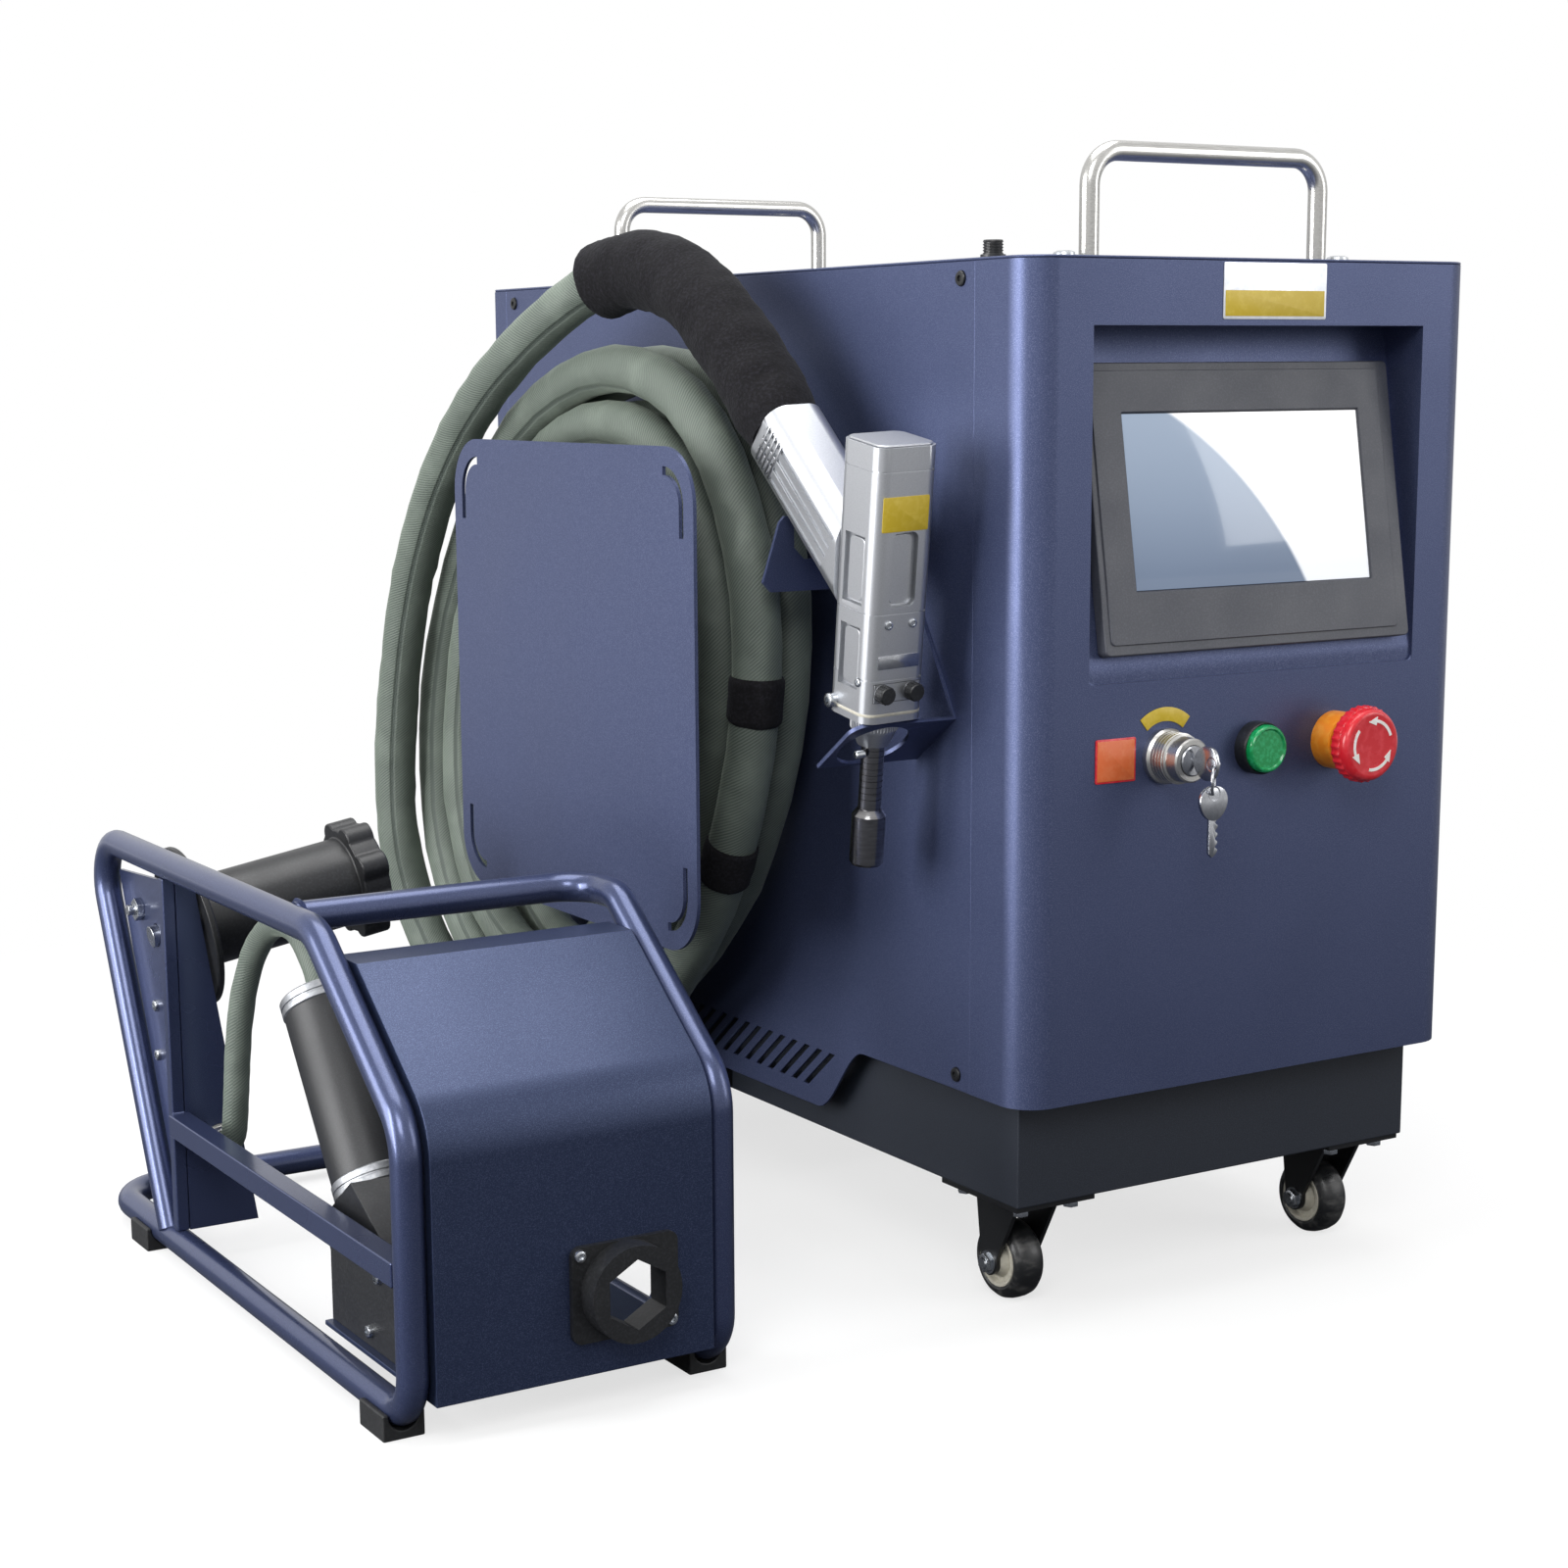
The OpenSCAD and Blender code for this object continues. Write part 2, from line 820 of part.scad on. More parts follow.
module panel_screws() {
    color(black_plastic) in_frame()
        for (y = [panel_y0 + side_screw_in, panel_y1 - side_screw_in], z = [cab_z0, wall_top])
            for (x = [0, cab_w - side_screw_t])
                translate([x, y, z + (z == cab_z0 ? side_screw_up : -side_screw_up)])
                    x_rod(side_screw_d, side_screw_t);
}

module top_fittings() {
    color(black_plastic) in_frame() {
        translate([stub_at.x, stub_at.y, cab_top]) cylinder(d = stub_d, h = stub_h);
        translate([cap_at.x, cap_at.y, cab_top]) domed(cap_d, cap_h);
    }
}

module key_switch() {
    color("#b5b5b2") in_frame() translate([key_x, 0, control_z]) difference() {
        union() {
            for (s = lock_steps) rotate([90, 0, 0]) cylinder(d = s[0], h = s[1]);
            y_rod(thread_d, inner_deep);
        }
        translate([0, -lock_proud - overrun, 0]) y_rod(rotor_d + 2 * pin_gap, rotor_deep + overrun);
    }
}

module bow(d, t, hole, at) {
    rotate([0, 90, 0]) translate([0, 0, -t / 2]) difference() {
        cylinder(d = d, h = t);
        translate([0, at, -overrun]) cylinder(r = hole, h = t + 2 * overrun);
    }
}

module key() {
    color("#9b9da3") in_frame() translate([key_x, 0, control_z]) {
        translate([0, -lock_proud - rotor_proud, 0]) y_rod(rotor_d, rotor_deep);
        translate([0, bow_y, 0]) bow(bow_d, bow_t, bow_hole, ring_y - bow_y);
        translate([-bow_t / 2, bow_y + bow_d / 4, -blade_w / 2]) cube([bow_t, bow_reach, blade_w]);
    }
}

module key_ring() {
    color("#c0c2c6") in_frame() translate([key_x, ring_y, ring_top]) rotate([0, 0, 45]) {
        translate([0, 0, -ring_r]) rotate([90, 0, 0]) rotate_extrude() translate([ring_r, 0]) circle(d = wire_d);
        translate([0, 0, -2 * ring_r + ring_drop]) rotate([0, 0, -45]) {
            rotate([90, 0, 0]) rotate([0, 0, -90]) translate([bow_d / 4, 0, -bow_t / 2]) difference() {
                union() {
                    cylinder(d = spare_d, h = bow_t);
                    translate([bow_d / 4, -spare_w / 2, 0]) cube([spare_l, spare_w, bow_t]);
                }
                translate([-bow_d / 4, 0, -overrun]) cylinder(r = bow_hole, h = bow_t + 2 * overrun);
            }
        }
    }
}

module button_collars() {
    color(black_plastic) in_frame() {
        translate([button_x, 0, control_z]) difference() {
            union() {
                translate([0, -collar_proud, 0]) y_rod(collar_d, collar_proud);
                y_rod(thread_d, inner_deep + button_travel);
            }
            translate([0, -collar_proud - overrun, 0])
                y_rod(button_d + 2 * slide_gap, collar_proud + overrun - sheet);
            translate([0, -sheet - overrun, 0]) y_rod(thread_d - 2 * sheet, inner_deep + button_travel + overrun);
        }
        translate([stop_x, 0, control_z]) difference() {
            union() {
                rotate([90, 0, 0]) cylinder(d1 = stop_collar_d, d2 = stop_lip_d, h = stop_collar_proud);
                y_rod(thread_d, inner_deep + stop_travel + sheet);
            }
            translate([0, -stop_front, 0]) y_rod(stop_neck_d + 2 * slide_gap, stop_front + inner_deep + stop_travel);
        }
    }
}

module green_button() {
    color("#157a46") in_frame() translate([button_x, 0, control_z]) {
        translate([0, -button_proud, 0]) y_rod(button_d, button_proud - button_travel - slide_gap - sheet);
        translate([0, -button_proud, 0]) y_rod(button_d / 2, button_proud + inner_deep - sheet - slide_gap);
    }
}

module stop_stem() {
    color("#a01820") in_frame() translate([stop_x, 0, control_z]) {
        translate([0, -stop_front + stop_head_t, 0]) y_rod(stop_neck_d, stop_front - stop_head_t + inner_deep - sheet);
        translate([0, -stop_front + stop_head_t - stop_pin_l, 0]) y_rod(stop_pin_d, stop_pin_l);
    }
}

module stop_head() {
    color("#c8232c") in_frame() translate([stop_x, -stop_front + stop_head_t, control_z]) difference() {
        rotate([90, 0, 0]) union() {
            translate([0, 0, slide_gap]) cylinder(d1 = 0.86 * stop_d, d2 = stop_d, h = stop_head_t / 4);
            translate([0, 0, slide_gap + stop_head_t / 4]) cylinder(d = stop_d, h = stop_head_t / 4);
            translate([0, 0, slide_gap + stop_head_t / 2])
                cylinder(d1 = stop_d, d2 = 0.9 * stop_d, h = stop_head_t / 2 - slide_gap);
        }
        translate([0, -stop_pin_l - slide_gap, 0]) y_rod(stop_pin_d + 2 * pin_gap, stop_pin_l + 2 * slide_gap + overrun);
    }
}

module hanger_bracket() {
    w = hook_y[1] - hook_y[0];
    h = hook_z[1] - hook_z[0];
    reach = -plate_x - plate_t;
    color(blue_paint) in_frame() translate([0, hook_y[0], hook_z[0]]) rotate([90, 0, 90])
        translate([0, 0, -reach]) linear_extrude(reach) difference() {
            rounded(w, h, hook_r);
            translate([hook_t, hook_t]) rounded(w - 2 * hook_t, h - 2 * hook_t, hook_r - hook_t);
        }
}

module corner_slot() {
    r = plate_r - slot_in;
    difference() {
        circle(r = r);
        circle(r = r - slot_bar);
        translate([-r - overrun, -r - overrun]) square([r + overrun, 2 * r + 2 * overrun]);
        translate([-overrun, -r - overrun]) square([r + 2 * overrun, r + overrun]);
    }
    translate([r - slot_bar, -slot_long + r]) square([slot_bar, slot_long - r]);
    translate([-overrun, r - slot_bar]) square([overrun, slot_bar]);
}

module hanger_plate() {
    color(blue_paint) in_frame() translate([plate_x, plate_y, plate_z]) rotate([90, 0, 90])
        linear_extrude(plate_t) difference() {
            rounded(plate_w, plate_h, plate_r);
            for (a = [0, 1], b = [0, 1])
                translate([a * plate_w, b * plate_h]) mirror([a, 0]) mirror([0, b])
                    translate([plate_r, plate_r]) rotate(180) corner_slot();
        }
}

// Side view of the holder's back plate
holder_outline = [
    tray_front, holder_neck, [holder_back, holder_top], [holder_y, holder_top], [holder_y, ear_z],
    tray_front + tray_l * [cos(tray_slope), -sin(tray_slope)]
];
ear_outline = [
    [0, ear_z], [-ear_w + ear_r, ear_z], [-ear_w, ear_z + ear_r], [-ear_top_w, horn_z - ear_step],
    [-ear_top_w + ear_step, horn_z], [notch_x[0], horn_z], [notch_x[0], notch_z + notch_r],
    [notch_x[0] + notch_r, notch_z], [notch_x[1] - notch_r, notch_z], [notch_x[1], notch_z + notch_r],
    [notch_x[1], holder_top], [0, holder_top]
];

module torch_holder() {
    color(blue_paint) in_frame() {
        yz_plate(holder_outline, -holder_t, holder_t);
        translate([0, holder_y, 0]) rotate([90, 0, 0]) linear_extrude(holder_t) polygon(ear_outline);
        translate([0, tray_front.x, tray_front.y]) rotate([-tray_slope, 0, 0]) translate([0, 0, -holder_t])
            linear_extrude(holder_t) difference() {
                union() {
                    translate([-tray_w + tray_r, 0]) square([tray_w - tray_r, tray_l]);
                    translate([-tray_w, tray_r]) square([tray_w, tray_l - tray_r]);
                    translate([-tray_w + tray_r, tray_r]) circle(r = tray_r);
                }
                translate([-tray_hole_x, tray_hole_y]) circle(d = tray_hole_d);
            }
    }
}

module hose_coil() {
    color(hose_green) in_frame() swept(coil_path, hose_d, coil_sides, [0, 1, 0], [0, 1, 0]);
}

module hose_end() {
    color(hose_green) in_frame() swept(route, hose_d, hose_sides, [0, 1, 0], [0, -1, 0]);
}

grip_way = [
    -sin(torch_tip) * (sin(grip_turn) * sin(torch_lean) + cos(grip_turn) * cos(torch_lean)),
    sin(grip_turn) * cos(torch_lean) - cos(grip_turn) * sin(torch_lean),
    cos(torch_tip) * (sin(grip_turn) * sin(torch_lean) + cos(grip_turn) * cos(torch_lean))
];
torch_way = [-sin(torch_tip) * cos(torch_lean), -sin(torch_lean), cos(torch_tip) * cos(torch_lean)];
grip_end = torch_at + grip_z * torch_way + grip_l * grip_way;

module hose_wrap() {
    color("#202024") in_frame()
        swept(concat(wrap_route, [grip_end]), wrap_d, wrap_sides, [0, -1, 0], -grip_way);
}

module hose_outlet() {
    color(black_plastic) in_frame() {
        translate([outlet_x, outlet_y[0], outlet_z[0]])
            cube([-outlet_x, outlet_y[1] - outlet_y[0], outlet_z[1] - outlet_z[0]]);
        translate([-overrun, outlet_y[0], neck_z[0]])
            cube([plinth_x + overrun, outlet_y[1] - outlet_y[0], neck_z[1] - neck_z[0]]);
        translate([coil_x, outlet_y[1], coil_bottom])
            y_rod(gland_d, coil_exit_y - lead_l - outlet_y[1]);
    }
}

module in_torch() { translate(torch_at) rotate([torch_lean, -torch_tip, 0]) children(); }

module torch_body() {
    h = torch_w / 2;
    color("#b4b7bb") in_frame() in_torch() difference() {
        translate([-h, -h, 0]) linear_extrude(torch_l) rounded(torch_w, torch_w, torch_r);
        translate([0, 0, -overrun]) cylinder(d = beam_d, h = beam_l);
        translate([0, 0, -overrun]) cylinder(d = tube_d + 2 * slide_gap, h = nozzle_top + 2 * overrun);
        translate([-pocket_w / 2, pocket_t - h, pocket_z]) rotate([90, 0, 0])
            linear_extrude(pocket_t + overrun) rounded(pocket_w, pocket_h, pocket_r);
        for (win = windows) translate([-h - overrun, -window_w / 2, win[0]])
            cube([window_t + overrun, window_w, win[1]]);
        translate([-drawer_w / 2 - slide_gap, -h - overrun, drawer_z - slide_gap])
            cube([drawer_w + 2 * slide_gap, drawer_l + overrun, drawer_h + 2 * slide_gap]);
    }
}

module lens_drawer() {
    h = torch_w / 2;
    color("#9ea1a6") in_frame() in_torch() {
        difference() {
            translate([-drawer_w / 2, -h, drawer_z]) cube([drawer_w, drawer_l - slide_gap, drawer_h]);
            translate([0, 0, drawer_z - overrun]) cylinder(d = beam_d, h = drawer_h + 2 * overrun);
        }
        for (x = [-knob_off, knob_off]) translate([x, -h, drawer_z + drawer_h / 2]) rotate([90, 0, 0])
            cylinder(d = knob_d, h = knob_h);
    }
}

module in_grip() { in_torch() translate([0, 0, grip_z]) rotate([-grip_turn, 0, 0]) children(); }

module torch_grip() {
    color("#c3c6ca") in_frame() difference() {
        in_grip() difference() {
            translate([-grip_w / 2, -grip_t / 2, 0]) linear_extrude(grip_l) rounded(grip_w, grip_t, grip_r);
            for (side = [-1, 1], k = [0:groove_count - 1])
                translate([
                    side * (grip_w / 2 - groove_t / 2) - groove_t / 2 - overrun / 2 * (1 - side),
                    (k - (groove_count - 1) / 2) * groove_pitch - groove_w / 2, groove_from
                ]) cube([groove_t + overrun, groove_w, groove_to - groove_from]);
            translate([-trigger_w / 2 - slide_gap, grip_t / 2 - trigger_deep - trigger_travel - slide_gap,
                trigger_at - slide_gap])
                cube([trigger_w + 2 * slide_gap, grip_t, trigger_l + 2 * slide_gap]);
        }
        in_torch() translate([-grip_t, torch_w / 2 - grip_t * 2, -grip_t])
            cube([2 * grip_t, 2 * grip_t, torch_l + 2 * grip_t]);
    }
}

module torch_trigger() {
    color("#2a2b2e") in_frame() in_grip()
        translate([-trigger_w / 2, grip_t / 2 - trigger_deep, trigger_at])
            cube([trigger_w, trigger_deep + trigger_proud, trigger_l]);
}

module focus_collar() {
    color("#a2a5aa") in_frame() in_torch() difference() {
        union() {
            translate([0, 0, -ring_h]) cylinder(d = ring_d, h = ring_h);
            translate([0, 0, -ring_h - cone_h]) cylinder(d1 = cone_d, d2 = cone_top_d, h = cone_h);
        }
        translate([0, 0, -ring_h - cone_h - overrun])
            cylinder(d = tube_d + 2 * pin_gap, h = ring_h + cone_h + 2 * overrun);
    }
}

module nozzle_tube() {
    color("#8f9094") in_frame() in_torch() difference() {
        union() {
            translate([0, 0, -tube_l]) cylinder(d = tube_d, h = tube_l + nozzle_top);
            translate([0, 0, -tube_l - tip_cone]) cylinder(d1 = tip_d, d2 = tube_d, h = tip_cone);
            translate([0, 0, -tube_l - tip_l]) cylinder(d = tip_d, h = tip_l - tip_cone);
        }
        translate([0, 0, -tube_l - tip_l - overrun])
            cylinder(d = nozzle_bore, h = tube_l + tip_l + nozzle_top + 2 * overrun);
    }
}

module laser_module() {
    color("#8a8d92") in_frame() translate([module_at.x, module_at.y, cab_z0]) {
        cube([module_size.x, module_size.y, module_size.z - fin_h]);
        for (k = [0:fin_count - 1]) translate([k * fin_pitch, 0, module_size.z - fin_h])
            cube([fin_t, module_size.y, fin_h]);
    }
}

module power_supply() {
    color("#a7a9ac") in_frame() translate([supply_at.x, supply_at.y, cab_z0 + module_size.z])
        cube(supply_size);
}

module control_board() {
    color("#1f5b3a") in_frame() translate([board_at.x, board_at.y, cab_z0 + module_size.z]) {
        translate([0, 0, standoff_h]) cube(board_size);
        for (x = [standoff_d, board_size.x - standoff_d], y = [standoff_d, board_size.y - standoff_d])
            translate([x, y, 0]) cylinder(d = standoff_d, h = standoff_h);
        for (y = [board_size.y / 4, board_size.y / 2])
            translate([board_size.x / 3, y, standoff_h + board_size.z]) cube(chip_size);
    }
}

module in_fan() { translate([cab_w / 2, cab_d - sheet, fan_z]) children(); }

module fan_frame() {
    h = fan_w / 2;
    color(black_plastic) in_frame() in_fan() {
        difference() {
            translate([-h, -fan_t, -h]) cube([fan_w, fan_t, fan_w]);
            translate([0, -fan_t - overrun, 0]) y_rod(fan_bore, fan_t + 2 * overrun);
        }
        for (a = [0, 90]) rotate([0, a, 0]) translate([-fan_bore / 2 - overrun, -fan_t, -fan_arm / 2])
            cube([fan_bore + 2 * overrun, fan_arm / 2, fan_arm]);
        translate([0, -fan_t, 0]) y_rod(fan_hub / 2, fan_arm / 2);
        translate([0, -fan_t, 0]) y_rod(shaft_d, rotor_t);
    }
}

module fan_rotor() {
    start = fan_arm / 2 + slide_gap - fan_t;
    color("#2b2c2f") in_frame() in_fan() translate([0, start, 0]) difference() {
        union() {
            y_rod(fan_hub, rotor_t);
            intersection() {
                for (k = [0:blade_count - 1]) rotate([0, 360 * k / blade_count, 0])
                    translate([0, rotor_t / 2, 0]) rotate([0, 0, blade_turn])
                        translate([-rotor_t / 2, -blade_t / 2, 0]) cube([rotor_t, blade_t, fan_bore / 2]);
                y_rod(fan_bore - 2 * overrun, rotor_t);
            }
        }
        translate([0, -overrun, 0]) y_rod(shaft_d + 2 * pin_gap, rotor_t + 2 * overrun);
    }
}

module rear_fittings() {
    color("#6d6f73") in_frame() {
        translate([gas_at.x, cab_d, gas_at.y]) {
            y_rod(nut_d, nut_h);
            y_rod(barb_d, nut_h + barb_l);
        }
        translate([power_at.x, cab_d, power_at.y]) y_rod(inlet_d, inlet_l);
        translate([switch_at.x - switch_size.x / 2, cab_d, switch_at.y - switch_size.y / 2])
            cube([switch_size.x, switch_size.z, switch_size.y]);
    }
}

module caster_plate() {
    translate([-mount_w / 2, -mount_l / 2, -mount_t]) cube([mount_w, mount_l, mount_t]);
}

module caster_plates() {
    color("#2a2c30") in_frame() for (x = [swivel_x, right_x]) translate([x, swivel_y, plinth_z]) {
        caster_plate();
        translate([0, 0, -mount_t - kingpin_h]) cylinder(d = kingpin_d, h = kingpin_h + mount_t);
    }
}

// Fork below its plate, from the swivel's axis: crown, two cheeks and the axle
module fork(crown_top, reach, bore) {
    half = inner_w / 2;
    top = crown_top;
    low = wheel_z - top;
    difference() {
        union() {
            translate([0, 0, -crown_t]) cylinder(d = race_d, h = crown_t);
            translate([-half - cheek_t, -cheek_top / 2, -crown_t])
                cube([inner_w + 2 * cheek_t, cheek_top, crown_t]);
            for (x = [-half - cheek_t, half])
                translate([x, 0, 0]) rotate([90, 0, 90]) linear_extrude(cheek_t) {
                    polygon([
                        [-cheek_top / 2, 0], [cheek_top / 2, 0], [cheek_top / 2, -crown_t],
                        [reach + cheek_low / 2, low + cheek_low / 4], [reach + cheek_low / 2, low],
                        [reach - cheek_low / 2, low], [reach - cheek_low / 2, low + cheek_low / 4],
                        [-cheek_top / 2, -crown_t]
                    ]);
                    translate([reach, low]) circle(d = cheek_low);
                }
            translate([-half - 2 * cheek_t, reach, low]) x_rod(axle_d, inner_w + 4 * cheek_t);
        }
        if (bore > 0) translate([0, 0, -crown_t - overrun]) cylinder(d = bore, h = crown_t + 2 * overrun);
    }
}

module caster_fork(x) {
    color("#26282b") in_frame() translate([x, swivel_y, fork_top - slide_gap])
        fork(fork_top - slide_gap, trail, kingpin_d + 2 * pin_gap);
}
module caster_fork_left() { caster_fork(swivel_x); }
module caster_fork_right() { caster_fork(right_x); }

module rear_forks() {
    color("#26282b") in_frame() for (x = [swivel_x, right_x]) translate([x, rear_y, plinth_z]) {
        caster_plate();
        translate([0, 0, -mount_t]) fork(fork_top, trail, 0);
    }
}

module wheel(x, y) {
    r = wheel_d / 2;
    shoulder = wheel_w / 3;
    color("#2b2c2e") in_frame() translate([x, y, wheel_z]) rotate([0, 90, 0]) rotate_extrude() difference() {
        union() {
            translate([0, -wheel_w / 2]) square([r - shoulder, wheel_w]);
            translate([0, shoulder - wheel_w / 2]) square([r, wheel_w - 2 * shoulder]);
            for (s = [-1, 1]) translate([r - shoulder, s * (wheel_w / 2 - shoulder)]) circle(r = shoulder);
            translate([0, -wheel_w / 2 - hub_side]) square([hub_d / 2, wheel_w + 2 * hub_side]);
        }
        translate([-r, -wheel_w]) square([r + axle_d / 2 + pin_gap, 2 * wheel_w]);
    }
}
module wheel_front_left() { wheel(swivel_x, swivel_y + trail); }
module wheel_front_right() { wheel(right_x, swivel_y + trail); }
module wheel_rear_left() { wheel(swivel_x, rear_y + trail); }
module wheel_rear_right() { wheel(right_x, rear_y + trail); }

module feeder_frame() {
    weld = frame_d / 4;
    color(blue_paint) in_frame() {
        pipe([
            [left_x, rear_foot_y, base_z + weld], [left_x, rear_top_y, rail_z], [left_x, shoulder_y, rail_z],
            [left_x, front_y, knee_z], [left_x, front_y, base_z], [left_x, back_y, base_z],
            [feed_x, back_y, base_z], [feed_x, front_y, base_z], [feed_x, front_y, knee_z],
            [feed_x, shoulder_y, rail_z], [feed_x, handle_y, rail_z], [left_x + weld, handle_y, rail_z]
        ], [
            0, top_bend, knee_bend, knee_bend, base_bend, rear_bend, rear_bend, base_bend, knee_bend,
            top_knee, handle_turn, 0
        ], frame_d, frame_d - weld_step);
    }
}

module feeder_rails() {
    y0 = front_y + frame_d / 2;
    color(blue_paint) in_frame() {
        translate([left_x - rail_w / 2, y0, side_rail_z - rail_w / 2]) cube([rail_w, post_y - y0 - post_w / 2, rail_w]);
        translate([left_x - post_w / 2, post_y - post_w / 2, base_z + frame_d / 2])
            cube([post_w, post_w, rail_z - base_z - frame_d]);
    }
}

// Side view of the feeder's cover at a distance outside the frame's middle line
function cover_line(off) =
    let (
        knee = tan((90 - slope) / 2) * knee_bend,
        y0 = front_y - off,
        fold = knee_z + (cover_fold_y - front_y) * tan(slope) + off / cos(slope)
    )
    concat(
        [[y0, cover_bottom]],
        arc([front_y + knee_bend, knee_z - knee], knee_bend + off, 180, 90 + slope, 12),
        [[cover_fold_y, fold], [cover_fold_y + cover_lip, fold]]
    );
function reversed(p) = [for (k = [len(p) - 1:-1:0]) p[k]];

module feeder_cover() {
    inner = frame_d / 2 + cover_gap;
    x0 = left_x + inner;
    w = frame_w - 2 * inner;
    outline = concat(cover_line(cover_off), reversed(cover_line(cover_off - cover_t)));
    side = concat(cover_line(cover_off), reversed(cover_line(cover_off - cover_side)));
    color(blue_paint) in_frame() difference() {
        union() {
            yz_plate(outline, x0, w);
            for (x = [x0, x0 + w - cover_t]) yz_plate(side, x, cover_t);
            translate([x0, front_y - cover_off, floor_z])
                cube([w, floor_end - front_y + cover_off, cover_bottom - floor_z]);
        }
        translate([flange_at.x, front_y - cover_off - overrun, flange_at.y])
            y_rod(hex_w / cos(30), cover_t + 2 * overrun);
    }
}

module spool_bracket() {
    web = [
        [post_y - post_w / 2, bracket_low], [post_y - post_w / 2, bracket_high],
        [rear_top_y - web_back, bracket_high - web_drop], [rear_foot_y + web_toe / 2, bracket_low + web_rise],
        [rear_foot_y - web_toe, bracket_low]
    ];
    color(blue_paint) in_frame() {
        difference() {
            yz_plate(web, web_x - web_t / 2, web_t);
            translate([web_x - web_t, spool_y, spool_z - (spool_x - web_x) * tan(spool_tilt)])
                x_rod(axle_rod + 2 * swing_gap, 2 * web_t);
            translate([web_x - web_t, bracket_bolt.x, bracket_bolt.y]) x_rod(bolt_rod + 2 * slide_gap, 2 * web_t);
        }
        translate([web_x, post_y - post_w / 2 + web_t, 0]) rotate([90, 0, 0]) linear_extrude(web_t) difference() {
            polygon([[0, bracket_low], [flange_low_w, bracket_low], [flange_top_w, bracket_high], [0, bracket_high]]);
            translate([connector_at.x - web_x, connector_at.y]) circle(d = cable_d);
        }
    }
}

module feeder_feet() {
    color(black_plastic) in_frame() for (x = [left_x, feed_x], y = [foot_front_y, foot_rear_y])
        translate([x, y, 0]) difference() {
            translate([-foot_w / 2, 0, 0]) cube([foot_w, foot_l, foot_hh]);
            translate([0, -overrun, base_z]) y_rod(frame_d, foot_l + 2 * overrun);
        }
}

module in_spool() { translate([spool_x, spool_y, spool_z]) rotate([0, -spool_tilt, 0]) children(); }

module spool_axle() {
    back = spool_x - web_x + 2 * web_t;
    color("#b3b6ba") in_frame() {
        in_spool() {
            translate([-back, 0, 0]) x_rod(axle_rod, back + spool_l + lobe_t / 2);
            translate([-slide_gap - axle_cap_t, 0, 0]) x_rod(axle_cap, axle_cap_t);
        }
        translate([web_x - web_t / 2 - bolt_reach, bracket_bolt.x, bracket_bolt.y]) {
            x_rod(bolt_rod, bolt_reach + web_t);
            translate([bolt_reach - bolt_nut_t, 0, 0]) rotate([0, 90, 0]) cylinder(d = bolt_nut, h = bolt_nut_t, $fn = 6);
        }
    }
}

module spool_hub() {
    color(black_plastic) in_frame() in_spool() difference() {
        union() {
            x_rod(spool_d, spool_t);
            x_rod(hub_big_d, spool_l + overrun);
            translate([spool_l, 0, 0]) rotate([0, 90, 0]) linear_extrude(lobe_t) {
                circle(d = lobe_d - lobe_r);
                for (k = [0:lobes - 1]) rotate(360 * (k + 0.5) / lobes) translate([lobe_d / 2 - lobe_r, 0])
                    circle(r = lobe_r);
            }
        }
        translate([-overrun, 0, 0]) x_rod(axle_rod + 2 * pin_gap, spool_l + lobe_t / 2 + overrun);
    }
}

motor_way = unit([0, motor_run, motor_rise]);

module feed_motor() {
    a = [motor_x, motor_low.x, motor_low.y];
    color("#26272a") in_frame() along(a, a + motor_l * motor_way) {
        cylinder(d = motor_d, h = motor_ring);
        translate([0, 0, motor_ring]) cylinder(d = motor_d - motor_step, h = motor_l - 2 * motor_ring);
        translate([0, 0, motor_l - motor_ring]) cylinder(d = motor_d, h = motor_ring);
    }
}

module drive_block() {
    side = motor_d / 2 * [motor_way.z, -motor_way.y];
    outline = [
        [block_y, cover_bottom], [floor_end, cover_bottom], [floor_end, motor_low.y - block_back_drop],
        motor_low + side, motor_low - side, [block_y, motor_low.y - block_front_drop]
    ];
    color("#1b1c1e") in_frame() {
        yz_plate(outline, block_x[0], block_x[1] - block_x[0]);
        translate([block_x[1], roller_y, roller_z]) x_rod(stub_shaft, roller_x - block_x[1] + roller_w);
        translate([block_x[1], arm_pivot_y, roller_z + roller_d / 2 + arm_w / 2]) x_rod(stub_shaft, arm_pin_l);
    }
}

module feed_roller() {
    color("#9a9ca1") in_frame() translate([roller_x, roller_y, roller_z]) difference() {
        x_rod(roller_d, roller_w);
        translate([-overrun, 0, 0]) x_rod(stub_shaft + 2 * pin_gap, roller_w + 2 * overrun);
    }
}

idler_z = roller_z + roller_d / 2 + idler_d / 2 + wire_gap;

module pressure_arm() {
    x0 = block_x[1] + arm_gap;
    color("#3a3c40") in_frame() difference() {
        union() {
            translate([x0, arm_pivot_y - arm_l, idler_z - arm_w / 2]) cube([arm_t, arm_l, arm_w]);
            translate([x0, arm_pivot_y, roller_z + roller_d / 2 + arm_w / 2]) x_rod(arm_eye, arm_t);
            translate([x0, arm_pivot_y - arm_w, roller_z + roller_d / 2]) cube([arm_t, arm_w, idler_z - roller_z]);
            translate([x0, roller_y, idler_z]) x_rod(stub_shaft, roller_x - x0 + roller_w);
        }
        translate([x0 - overrun, arm_pivot_y, roller_z + roller_d / 2 + arm_w / 2])
            x_rod(stub_shaft + 2 * pin_gap, arm_t + 2 * overrun);
    }
}

module idler_roller() {
    color("#9a9ca1") in_frame() translate([roller_x, roller_y, idler_z]) difference() {
        x_rod(idler_d, roller_w);
        translate([-overrun, 0, 0]) x_rod(stub_shaft + 2 * pin_gap, roller_w + 2 * overrun);
    }
}

